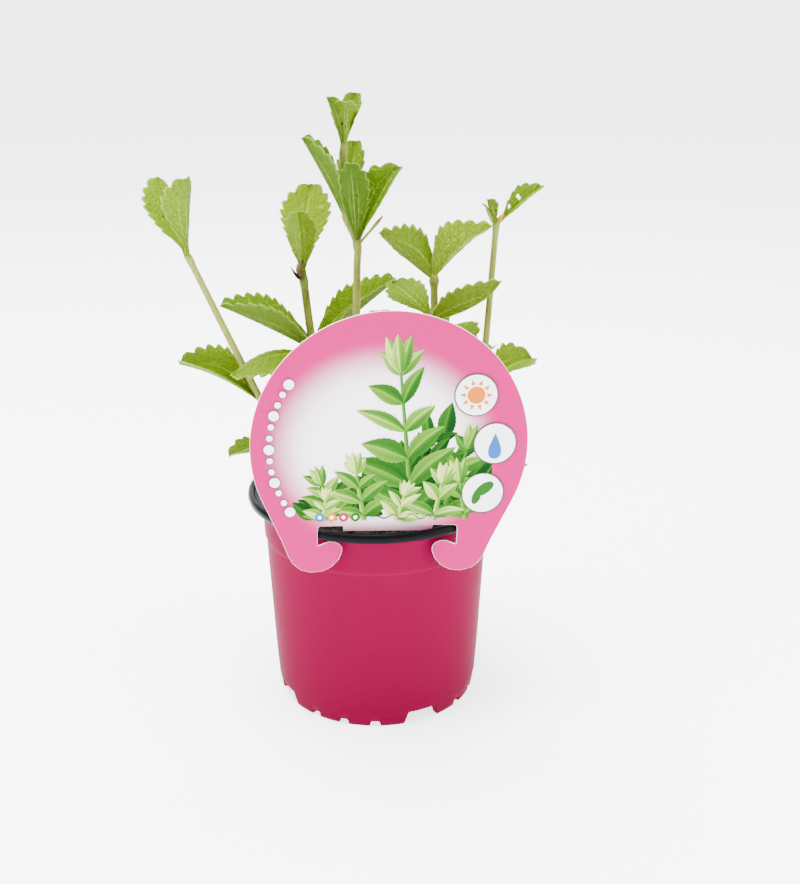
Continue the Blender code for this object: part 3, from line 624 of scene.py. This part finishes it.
def stem_line(path, count):
    """Points along a smooth curve through the path's points, a cubic between each two.

    At a point, the curve's slope is half the step from the point before it to the point after.
    """
    knots = np.array(path, float)
    padded = np.vstack([2 * knots[0] - knots[1], knots, 2 * knots[-1] - knots[-2]])
    place = np.linspace(0.0, len(knots) - 1, count)
    k = np.minimum(place.astype(int), len(knots) - 2)
    t = (place - k)[:, None]
    a, b, c, d = padded[k], padded[k + 1], padded[k + 2], padded[k + 3]
    bent = (2 * a - 5 * b + 4 * c - d) * t * t + (3 * b - a - 3 * c + d) * t ** 3
    return (2 * b + (c - a) * t + bent) / 2


def tube_rows(centres, radii, sides, ribs=0.0):
    """Rings of points round a line: radius r (1 + ribs cos(6 a)) at angle a."""
    along = np.gradient(centres, axis=0)
    along = along / np.linalg.norm(along, axis=1, keepdims=True)
    side = np.cross(along, (0.0, 1.0, 0.0))
    side = side / np.linalg.norm(side, axis=1, keepdims=True)
    other = np.cross(along, side)
    a = np.linspace(0.0, 2.0 * math.pi, sides, endpoint=False)[None, :, None]
    reach = np.asarray(radii)[:, None, None] * (1.0 + ribs * np.cos(6.0 * a))
    return centres[:, None] + reach * (np.cos(a) * side[:, None] + np.sin(a) * other[:, None])


def leaf_at(height, turn, rise, length, width, **other):
    """A leaf's values, with its height on the stem, length and width in mm.

    Turn (0 is +X, 90 is +Y), rise, fold and roll are in degrees. Arch, curl and sweep are shares
    of the length, tip lifts the end in mm, teeth are counted along one side, and tone makes a leaf
    paler or darker. A hole is its place across and along, and its reach both ways.
    """
    leaf = dict(height=height, turn=turn, rise=rise, length=length, width=width, fold=25, roll=0,
                arch=0.3, curl=0, sweep=0, tip=0, widest=0.64, point=0.9, teeth=6, tone=0, holes=())
    return {**leaf, **other}


# Each shoot, in mm about the pot's axis: the points of its centre line, its radius low and high,
# how pale its stem is (0 to 1), and its leaves, the uppermost pairs first.
shoots = {
    "shoot_1": dict(
        path=[(-20, 3, 52), (-22, 3, 70), (-28, 3, 84), (-38, 2.5, 106), (-46, 2, 124), (-58, 0, 152),
              (-71.5, -2, 184)],
        radius_low=1.7, radius_high=1.25, pale=0.55,
        leaves=[
            leaf_at(183, 133, 58, 34.5, 18.5, fold=-18, arch=0.05, roll=9, teeth=7, tone=0.3),
            leaf_at(183, -76, 66, 34, 16, fold=43, arch=0.15, roll=29, tone=0.3),
            leaf_at(124, 165, 21, 38, 22, fold=50, arch=0.35, roll=-24, widest=0.55, teeth=7),
            leaf_at(122, -35, -20, 22, 14, arch=0.4, teeth=5),
            leaf_at(101, -153, 9, 26, 15, teeth=5),
            leaf_at(101, 95, 18, 22, 14, teeth=4),
        ]),
    "shoot_2": dict(
        path=[(-6, 14, 52), (-7, 14, 72), (-11, 13.5, 90), (-18, 12.5, 118), (-25, 11, 144),
              (-28.5, 10, 174)],
        radius_low=1.9, radius_high=1.5, pale=0.0,
        leaves=[
            leaf_at(172.5, 75, 70, 38, 19, arch=0, fold=10, curl=-0.06, sweep=0.2, widest=0.68,
                    teeth=8, tone=0.6),
            leaf_at(172.5, -95, 72, 29, 13, fold=30, arch=0.1, teeth=5, tone=0.3),
            leaf_at(144, -163, 29, 42, 22, fold=48, arch=0.05, roll=-9, widest=0.5, teeth=8, tone=-0.25),
            leaf_at(144, 27, 34, 45, 20, fold=48, arch=0.05, roll=12, widest=0.5, teeth=8),
            leaf_at(139, -143, 0, 39, 20, fold=-38, arch=0.75, widest=0.5, teeth=7,
                    holes=((-0.35, 0.62, 0.14, 0.028),)),
            leaf_at(118, -130, 20, 28, 16, teeth=5),
            leaf_at(118, 100, 20, 26, 16, teeth=5),
            leaf_at(98, 75, 16, 24, 15, teeth=4),
        ]),
    "shoot_3": dict(
        path=[(-7.5, -6, 52), (-7.5, -6, 90), (-7.3, -6, 140), (-6.4, -6, 178), (-6.3, -6, 189),
              (-10.3, -6, 199.5), (-10.8, -6, 212), (-10.6, -6, 226)],
        radius_low=1.8, radius_high=1.2, pale=0.12, buds=(80, -100),
        leaves=[
            leaf_at(189, -95, 65, 34, 12, fold=32, arch=0.1, widest=0.6, tone=-0.85),
            leaf_at(189, 32, 57, 34, 17, fold=40, arch=0.1, roll=20, tone=-0.4, tip=-1.6),
            leaf_at(199.5, -157, 61, 33, 16, fold=38, arch=0.05, roll=-15, tone=-0.6),
            leaf_at(199.5, 76, 60, 30, 11, fold=30, arch=0.1, teeth=5),
            leaf_at(224, -130, 66, 20, 9, fold=35, arch=0.1, teeth=4, tone=-0.3),
            leaf_at(224, -83, 62, 19, 11, fold=38, arch=0.2, curl=0.1, teeth=4),
            leaf_at(224, 60, 64, 21.3, 11, fold=30, arch=0.1, teeth=4),
            leaf_at(128, 15, 2, 26, 16, teeth=5),
            leaf_at(128, -160, 15, 28, 16, teeth=5),
            leaf_at(103, -85, 18, 26, 15, teeth=4),
        ]),
    "shoot_4": dict(
        path=[(15, 2, 52), (16, 2, 72), (19, 1, 100), (22, 0, 130), (23.3, 0, 159), (23.2, 0, 176)],
        radius_low=1.7, radius_high=1.35,
        leaves=[
            leaf_at(174, -146, 38, 31, 20, fold=50, arch=0.5, roll=48, widest=0.38, point=1.2,
                    tone=0.2, tip=2.4),
            leaf_at(175, -30, 41, 32, 18, fold=32, arch=0.55, roll=-32, widest=0.45, point=1.1,
                    tone=0.8, tip=1.6),
            leaf_at(159, 130, 22, 27, 15, fold=14, arch=0.1, roll=-20),
            leaf_at(159, -31, 29, 33, 21, fold=30, arch=-0.25, roll=-14, widest=0.45, tip=1.4),
            leaf_at(131, 100, 20, 28, 14, teeth=5),
            leaf_at(131, -120, 20, 32, 17, teeth=5),
            leaf_at(105, -35, 10, 28, 15, teeth=4),
        ]),
    "shoot_5": dict(
        path=[(33, 1, 52), (34, 1, 72), (38.5, 1.5, 100), (42.6, 2, 131), (44.2, 2, 151), (47, 2, 197)],
        radius_low=1.5, radius_high=1.15, pale=0.25,
        leaves=[
            leaf_at(195, -119, 54, 13, 5, fold=35, arch=0.1, teeth=3),
            leaf_at(195, 31, 32, 25.5, 10, fold=40, arch=0.1, roll=20, teeth=5,
                    holes=((0.5, 0.56, 0.2, 0.035), (0.62, 0.34, 0.16, 0.03))),
            leaf_at(131, 33, 16, 27, 18, fold=32, roll=22, teeth=5),
            leaf_at(131, -105, 18, 24, 15, teeth=5),
            leaf_at(97, 26, -9, 28, 14, fold=20, arch=0.25, teeth=4),
        ]),
    "shoot_6": dict(
        path=[(4, 27, 52), (4, 27, 72), (4, 27, 100), (3, 26, 126), (2, 25, 142)],
        radius_low=1.6, radius_high=1.2, buds=(80, -100),
        leaves=[
            leaf_at(141, 92, 18, 29.9, 15, fold=15, arch=0.1, teeth=5, tone=-0.9),
            leaf_at(141, -83, 11, 18, 10, fold=28, teeth=4, tone=-0.9),
            leaf_at(120, 23, 21, 30, 16, fold=27, teeth=5),
            leaf_at(120, 140, 22, 30, 17, teeth=5),
            leaf_at(98, 85, 14, 26, 16, teeth=5),
        ]),
    "shoot_7": dict(
        path=[(27, 20, 52), (27, 20, 72), (28, 20, 110), (29, 20, 152)],
        radius_low=1.5, radius_high=1.1, buds=(80, -100),
        leaves=[
            leaf_at(151, -66, -10, 21, 15, fold=20, arch=0.4, roll=10, teeth=5),
            leaf_at(151, 128, -5, 26, 15, fold=20, teeth=5),
            leaf_at(126, 42, 20, 32, 16, teeth=5),
            leaf_at(102, 10, 10, 28, 15, teeth=4),
            leaf_at(102, 100, 12, 26, 15, teeth=4),
        ]),
    "shoot_8": dict(
        path=[(-22, 25, 52), (-22, 25, 72), (-23, 26, 96), (-24, 27, 116)],
        radius_low=1.5, radius_high=1.1, buds=(80, -100),
        leaves=[
            leaf_at(115, 95, 25, 26, 15, fold=30, arch=0.2, teeth=5),
            leaf_at(115, 200, 18, 26, 15, fold=30, arch=0.2, teeth=5),
            leaf_at(98, 140, 18, 28, 16, teeth=5),
            leaf_at(92, 185, 10, 22, 14, teeth=4),
        ]),
}
stem_sides = 24
stem_foot = 52.0
stem_cut = 60.0
joint_swell = 0.32
leaf_rows, leaf_columns = 96, 19
leaf_s = np.linspace(0.0, 1.0, leaf_rows)[:, None]
leaf_u = np.sin(np.linspace(-0.5, 0.5, leaf_columns) * 2.6)[None, :] / math.sin(1.3)
leaf_index = np.arange(leaf_rows * leaf_columns).reshape(leaf_rows, leaf_columns)
leaf_top = np.stack([
    leaf_index[:-1, :-1], leaf_index[:-1, 1:], leaf_index[1:, 1:], leaf_index[1:, :-1],
], axis=-1).reshape(-1, 4)
leaf_edge = np.concatenate([
    leaf_index[:, 0], leaf_index[-1, 1:], leaf_index[-2::-1, -1], leaf_index[0, -2:0:-1],
])
leaf_next = np.roll(leaf_edge, -1)
leaf_count = leaf_index.size
leaf_under = leaf_top[:, ::-1] + leaf_count
leaf_rim = np.stack([leaf_edge, leaf_next, leaf_next + leaf_count, leaf_edge + leaf_count], axis=-1)
leaf_middle_u, leaf_middle_s = np.broadcast_arrays(
    (leaf_u[:, :-1] + leaf_u[:, 1:]) / 2, (leaf_s[:-1] + leaf_s[1:]) / 2)
leaf_middle_u, leaf_middle_s = leaf_middle_u.ravel(), leaf_middle_s.ravel()
shift = np.array([pot_axis_x, pot_axis_y, 0.0])
materials = {name: bpy.data.materials.new(name) for name in ("leaf_upper", "leaf_under", "stem_skin")}
blades = {}
number = 0
for shoot_name, shoot in shoots.items():
    centres = stem_line(shoot["path"], 120)
    centres = centres[centres[:, 2] > stem_cut]
    heights = centres[:, 2]
    share = (heights - stem_foot) / (shoot["path"][-1][2] - stem_foot)
    radii = shoot["radius_low"] + (shoot["radius_high"] - shoot["radius_low"]) * share
    for joint in sorted({leaf["height"] for leaf in shoot["leaves"]}):
        radii = radii + joint_swell * np.exp(-((heights - joint + 0.8) / 1.6) ** 2)
    rings = tube_rows(centres, radii, stem_sides, 0.035)
    points = [rings.reshape(-1, 3), centres[[0, -1]]]
    faces = [ring_quads(len(centres), stem_sides, 0)]
    total = len(centres) * stem_sides
    last_ring = total - stem_sides
    caps = [(total, (i + 1) % stem_sides, i) for i in range(stem_sides)]
    caps += [(total + 1, last_ring + i, last_ring + (i + 1) % stem_sides) for i in range(stem_sides)]
    kinds = [np.full(len(faces[0]), 2)]
    marks = [np.full((total + 2, 3), shoot.get("pale", 0.1))]
    total += 2
    bud_turns = [shoot["leaves"][0]["turn"] + away for away in shoot.get("buds", ())]
    buds = [leaf_at(shoot["path"][-1][2] - 1.0, turn, 76, 8.5, 3.6, fold=38, arch=0.12, teeth=3, tone=0.9)
            for turn in bud_turns]
    for leaf in shoot["leaves"] + buds:
        number += 1
        leaf["seed"] = 1.7 * number
        leaf["base"] = np.array([np.interp(leaf["height"], heights, centres[:, axis]) for axis in range(3)])
        blades[shoot_name, leaf["height"], leaf["turn"]] = leaf
        top, under = blade_surface(leaf, leaf_u, leaf_s)
        points += [top.reshape(-1, 3), under.reshape(-1, 3)]
        kept = np.ones(len(leaf_top), bool)
        for hole_u, hole_s, reach_u, reach_s in leaf["holes"]:
            off_u = (leaf_middle_u - hole_u) / reach_u
            off_s = (leaf_middle_s - hole_s) / reach_s
            kept &= off_u ** 2 + off_s ** 2 * (1.0 + 0.4 * np.sin(9.0 * off_u)) > 1.0
        faces.append(np.concatenate([leaf_top[kept], leaf_under[kept], leaf_rim]) + total)
        kinds.append(np.concatenate([np.zeros(kept.sum()), np.ones(kept.sum() + len(leaf_rim))]))
        # The whole part sets this leaf's patches apart from the others', the rest is how pale it is.
        young = number + 0.5 + 0.45 * leaf["tone"]
        where = np.stack(np.broadcast_arrays(leaf_u, leaf_s, young), axis=-1)
        marks += [where.reshape(-1, 3), where.reshape(-1, 3)]
        total += 2 * leaf_count
    all_points = (np.concatenate(points) + shift) * 0.001
    all_faces = np.concatenate(faces).tolist() + caps
    piece, mesh = add_piece(shoot_name + "_leafy", all_points.tolist(), all_faces)
    kinds.append(np.full(len(caps), 2))
    mesh.polygons.foreach_set("material_index", np.concatenate(kinds).astype(np.int32))
    blade_place = mesh.attributes.new("blade", "FLOAT_VECTOR", "POINT")
    blade_place.data.foreach_set("vector", np.concatenate(marks).ravel())
    mesh.shade_smooth()
    for material in materials.values():
        mesh.materials.append(material)
    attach(piece, "root")
    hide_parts(shoot_name)


# Leaf veins as masks from a blade's own place (u across, s along): a midrib, two main veins that
# leave the base and run towards the tip, slanting side veins, and a fine net between them.
veins = bpy.data.node_groups.new("leaf_veins", "ShaderNodeTree")
for name in ("Midrib", "Main", "Net", "Edge", "Shade", "Young"):
    veins.interface.new_socket(name=name, in_out="OUTPUT", socket_type="NodeSocketFloat")


def line_of(distance, half_width):
    """A line's mask: 1 - distance / half width, held between 0 and 1."""
    return math_of(veins, "SUBTRACT", 1.0, math_of(veins, "DIVIDE", distance, half_width), clamp=True)


place = add_node(veins, "ShaderNodeAttribute", {}, attribute_name="blade")
split = add_node(veins, "ShaderNodeSeparateXYZ", {"Vector": place.outputs["Vector"]})
u_abs = math_of(veins, "ABSOLUTE", split.outputs["X"])
along = split.outputs["Y"]
back = math_of(veins, "SUBTRACT", 1.0, along)
midrib = line_of(u_abs, math_of(veins, "MULTIPLY_ADD", back, 0.035, 0.03))
main_place = math_of(veins, "MULTIPLY_ADD", along, -0.22, 0.46)
main_off = math_of(veins, "ABSOLUTE", math_of(veins, "SUBTRACT", u_abs, main_place))
main_fade = math_of(veins, "MULTIPLY", math_of(veins, "SUBTRACT", 0.9, along, clamp=True), 1.5, clamp=True)
main = math_of(veins, "MULTIPLY", line_of(main_off, 0.04), main_fade)
slant = math_of(veins, "MULTIPLY", math_of(veins, "MULTIPLY_ADD", u_abs, -0.2, along), 9.0)
slant_off = math_of(veins, "ABSOLUTE", math_of(veins, "SUBTRACT", math_of(veins, "FRACT", slant), 0.5))
slant_line = math_of(veins, "MULTIPLY", line_of(slant_off, 0.07), 0.8)
edge = math_of(veins, "SUBTRACT", u_abs, 0.93, clamp=True)
spot = add_node(veins, "ShaderNodeVectorMath", {
    0: place.outputs["Vector"], 1: (5.0, 16.0, 7.3),
}, operation="MULTIPLY")
cells = add_node(veins, "ShaderNodeTexVoronoi", {
    "Scale": 1.0, "Vector": spot.outputs["Vector"],
}, feature="DISTANCE_TO_EDGE")
patches = add_node(veins, "ShaderNodeTexNoise", {
    "Scale": 0.35, "Detail": 2.0, "Vector": spot.outputs["Vector"],
})
add_node(veins, "NodeGroupOutput", {
    "Midrib": midrib,
    "Main": main,
    "Net": math_of(veins, "MAXIMUM", line_of(cells.outputs["Distance"], 0.09), slant_line),
    "Edge": math_of(veins, "MULTIPLY", edge, 14.0, clamp=True),
    "Shade": patches.outputs["Fac"],
    "Young": math_of(veins, "POWER", math_of(veins, "FRACT", split.outputs["Z"]), 1.6),
})


# Leaf faces: green in darker and lighter patches, paler on young leaves, on the veins and their net
# and along the rim. The net is sunk in the upper face and raised on the lower, and both faces let a
# little light through. The stems are olive with finer streaks along them, and some are paler.
for name, low, high, light, net, vein, net_share, rough, through in (
    ("leaf_upper", (0.022, 0.078, 0.0006), (0.075, 0.18, 0.002), (0.27, 0.4, 0.0006), (0.34, 0.5, 0.01),
     (0.5, 0.66, 0.045), 0.55, 0.5, (0.14, 0.27, 0.001)),
    ("leaf_under", (0.018, 0.06, 0.002), (0.06, 0.145, 0.005), (0.32, 0.46, 0.012), (0.22, 0.35, 0.015),
     (0.46, 0.62, 0.1), 0.42, 0.6, (0.13, 0.24, 0.001)),
):
    material = materials[name]
    material.use_nodes = True
    tree = material.node_tree
    lines = add_node(tree, "ShaderNodeGroup", {}, node_tree=veins)
    colour = (*low, 1.0)
    for second, mask, weight in (
        (high, "Shade", 1.0), (light, "Young", 0.9), (net, "Net", net_share),
        (vein, "Main", 0.8), (vein, "Midrib", 0.95), (vein, "Edge", 0.45),
    ):
        share = math_of(tree, "MULTIPLY", lines.outputs[mask], weight)
        colour = mix_of(tree, share, colour, (*second, 1.0))
    bump = add_node(tree, "ShaderNodeBump", {
        "Strength": 0.9, "Distance": 0.0004, "Height": lines.outputs["Net"],
    }, invert=name == "leaf_upper")
    shader = set_finish(material, colour, rough, 0.07)
    tree.links.new(bump.outputs["Normal"], shader.inputs["Normal"])
    glow = add_node(tree, "ShaderNodeBsdfTranslucent", {"Color": (*through, 1.0)})
    both = add_node(tree, "ShaderNodeMixShader", {
        "Fac": 0.3, 1: shader.outputs["BSDF"], 2: glow.outputs["BSDF"],
    })
    tree.links.new(both.outputs["Shader"], tree.nodes["Material Output"].inputs["Surface"])
skin = materials["stem_skin"]
skin.use_nodes = True
tree = skin.node_tree
place = add_node(tree, "ShaderNodeTexCoord", {})
stretch = add_node(tree, "ShaderNodeMapping", {
    "Scale": (3.0, 3.0, 0.35), "Vector": place.outputs["Object"],
})
streaks = add_node(tree, "ShaderNodeTexNoise", {
    "Scale": 260.0, "Detail": 3.0, "Vector": stretch.outputs["Vector"],
})
olive = ramp_of(tree, streaks.outputs["Fac"], [
    (0.3, (0.075, 0.095, 0.01, 1.0)), (0.7, (0.175, 0.205, 0.028, 1.0)),
])
stem_tone = add_node(tree, "ShaderNodeAttribute", {}, attribute_name="blade")
pale = mix_of(tree, stem_tone.outputs["Fac"], olive, (0.31, 0.33, 0.075, 1.0))
set_finish(skin, pale, 0.6, 0.07)


# Hairs: short pale ones stand off every stem above the soil. Each is a thin three-sided spike
# from the stem's skin, most of them leaning a little upwards.
hair_count = 520
hair_radius = 0.05
hair_from = 83.0
hair_random = np.random.default_rng(8)
hair_feet, hair_tips = [], []
for shoot in shoots.values():
    centres = stem_line(shoot["path"], 400)
    centres = centres[centres[:, 2] > hair_from]
    pick = hair_random.integers(1, len(centres) - 1, hair_count)
    turn = hair_random.uniform(0.0, 2.0 * math.pi, hair_count)
    out = np.stack([np.cos(turn), np.sin(turn), hair_random.uniform(-0.1, 0.55, hair_count)], axis=1)
    share = (centres[pick, 2] - stem_foot) / (shoot["path"][-1][2] - stem_foot)
    radius = shoot["radius_low"] + (shoot["radius_high"] - shoot["radius_low"]) * share
    hair_feet.append(centres[pick] + out * (radius * 0.93)[:, None])
    hair_tips.append(hair_feet[-1] + out * hair_random.uniform(0.35, 0.95, (hair_count, 1)))
hair_feet, hair_tips = np.concatenate(hair_feet), np.concatenate(hair_tips)
hair_way = hair_tips - hair_feet
hair_side = np.cross(hair_way, (0.3, 0.2, 1.0))
hair_side = hair_radius * hair_side / np.linalg.norm(hair_side, axis=1, keepdims=True)
hair_other = np.cross(hair_way, hair_side)
hair_other = hair_radius * hair_other / np.linalg.norm(hair_other, axis=1, keepdims=True)
hair_points = np.stack([
    hair_feet + hair_side, hair_feet - 0.5 * hair_side + 0.87 * hair_other,
    hair_feet - 0.5 * hair_side - 0.87 * hair_other, hair_tips,
], axis=1)
hair_start = 4 * np.arange(len(hair_feet))[:, None, None]
hair_faces = (np.array([(0, 1, 3), (1, 2, 3), (2, 0, 3), (0, 2, 1)])[None] + hair_start).reshape(-1, 3)
hair_points = (hair_points.reshape(-1, 3) + shift) * 0.001
stem_hairs, hair_mesh = add_piece("stem_hairs", hair_points.tolist(), hair_faces.tolist())
hair = bpy.data.materials.new("hair")
set_finish(hair, (0.6, 0.64, 0.36, 1.0), 0.7, 0.5)
hair_mesh.materials.append(hair)
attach(stem_hairs, "root")


# Dry bits: a thin side twig with a brown tip on the tallest shoot, a black stub and a withered
# leaf under the second shoot's top pair, a rusty scale and a curled bract on the fifth shoot,
# and brown flecks on a few leaves.
bit_points, bit_faces, bit_colours = [], [], []
tube_rings = 14
tube_sides = 9
fleck_sides = 12


def dry_tube(line, radii, colours):
    """A small tube along a curve through the line's points, radii and colours blended along it."""
    centres = stem_line(line, tube_rings)
    place = np.linspace(0.0, len(radii) - 1, tube_rings)
    reach = np.interp(place, np.arange(len(radii)), radii)
    rows = tube_rows(centres, reach, tube_sides)
    start = sum(len(points) for points in bit_points)
    bit_points.append(rows.reshape(-1, 3))
    bit_faces.extend(ring_quads(tube_rings, tube_sides, start).tolist())
    bit_faces.append(tuple(range(start, start + tube_sides))[::-1])
    bit_faces.append(tuple(range(start + (tube_rings - 1) * tube_sides, start + tube_rings * tube_sides)))
    known = np.array(colours)
    shade = np.stack([np.interp(place, np.arange(len(known)), known[:, i]) for i in range(3)], axis=1)
    bit_colours.append(np.repeat(shade, tube_sides, axis=0))


def dry_fleck(leaf, u, s, size, upper, colour):
    """A brown fleck, an uneven disc of that size in mm, just off a leaf's upper or lower face."""
    turn = np.linspace(0.0, 2.0 * math.pi, fleck_sides, endpoint=False)
    reach = size * (1.0 + 0.3 * np.sin(3.0 * turn + u * 9.0))
    around_u = np.concatenate([[u], u + reach * np.cos(turn) / (0.4 * leaf["width"])])
    around_s = np.concatenate([[s], s + reach * np.sin(turn) / leaf["length"]])
    top, under = blade_surface(leaf, around_u, around_s)
    lift = (top - under) / np.linalg.norm(top - under, axis=1, keepdims=True)
    points = top + 0.06 * lift if upper else under - 0.06 * lift
    start = sum(len(points) for points in bit_points)
    bit_points.append(points)
    ring = [(start, start + 1 + i, start + 1 + (i + 1) % fleck_sides) for i in range(fleck_sides)]
    bit_faces.extend(ring if upper else [face[::-1] for face in ring])
    bit_colours.append(np.tile(colour, (fleck_sides + 1, 1)))


olive_dry, tan, dark = (0.13, 0.17, 0.025), (0.07, 0.042, 0.014), (0.008, 0.006, 0.004)
dry_tube([(-6.3, -6.0, 188.0), (-1.2, -7.8, 194.0), (1.6, -8.9, 197.4), (3.7, -9.6, 199.9)],
         [0.62, 0.5, 0.75, 0.2], [olive_dry, olive_dry, (0.14, 0.1, 0.03), (0.05, 0.02, 0.01)])
dry_tube([(-28.2, 8.8, 173.0), (-30.0, 7.6, 173.6), (-31.6, 7.0, 175.6), (-32.9, 6.8, 178.0)],
         [0.9, 0.8, 0.5, 0.15], [(0.09, 0.12, 0.03), dark, dark, dark])
dry_tube([(-28.2, 8.4, 173.8), (-29.6, 6.9, 176.2), (-29.3, 6.2, 178.9), (-27.8, 6.3, 180.4)],
         [0.9, 1.35, 1.0, 0.3], [(0.06, 0.08, 0.02), tan, (0.13, 0.085, 0.03), dark])
dry_tube([(47.0, 1.0, 196.0), (48.3, 0.2, 198.0), (49.4, 0.0, 199.3)],
         [0.5, 0.85, 0.3], [olive_dry, (0.5, 0.14, 0.02), (0.42, 0.2, 0.05)])
dry_tube([(45.6, 1.4, 196.0), (44.0, 0.6, 199.5), (42.6, 0.4, 202.2), (41.2, 0.6, 203.0)],
         [0.7, 0.9, 0.5, 0.3], [(0.2, 0.3, 0.05), (0.26, 0.36, 0.08), (0.2, 0.2, 0.06), (0.12, 0.09, 0.03)])
for shoot_name, height, turn, u, s, size, upper, colour in (
    ("shoot_1", 183, 133, 0.5, 0.5, 0.75, True, (0.06, 0.02, 0.006)),
    ("shoot_1", 183, 133, 0.3, 0.66, 0.3, True, (0.1, 0.05, 0.01)),
    ("shoot_3", 189, -95, 0.25, 0.6, 0.3, False, dark),
    ("shoot_3", 189, -95, 0.2, 0.75, 0.22, False, dark),
    ("shoot_3", 224, -130, 0.6, 0.45, 0.5, False, dark),
    ("shoot_4", 174, -146, 0.85, 0.5, 0.4, False, (0.08, 0.02, 0.03)),
    ("shoot_2", 139, -143, -0.5, 0.42, 0.4, True, (0.05, 0.04, 0.01)),
):
    dry_fleck(blades[shoot_name, height, turn], u, s, size, upper, colour)
bit_points = (np.concatenate(bit_points) + shift) * 0.001
dry_bits, bit_mesh = add_piece("dry_bits", bit_points.tolist(), bit_faces)
bit_shade = bit_mesh.attributes.new("dry_shade", "FLOAT_VECTOR", "POINT")
bit_shade.data.foreach_set("vector", np.concatenate(bit_colours).ravel())
bit_mesh.shade_smooth()
dry = bpy.data.materials.new("dry")
dry.use_nodes = True
shade = add_node(dry.node_tree, "ShaderNodeAttribute", {}, attribute_name="dry_shade")
set_finish(dry, shade.outputs["Vector"], 0.8, 0.1)
bit_mesh.materials.append(dry)
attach(dry_bits, "root")
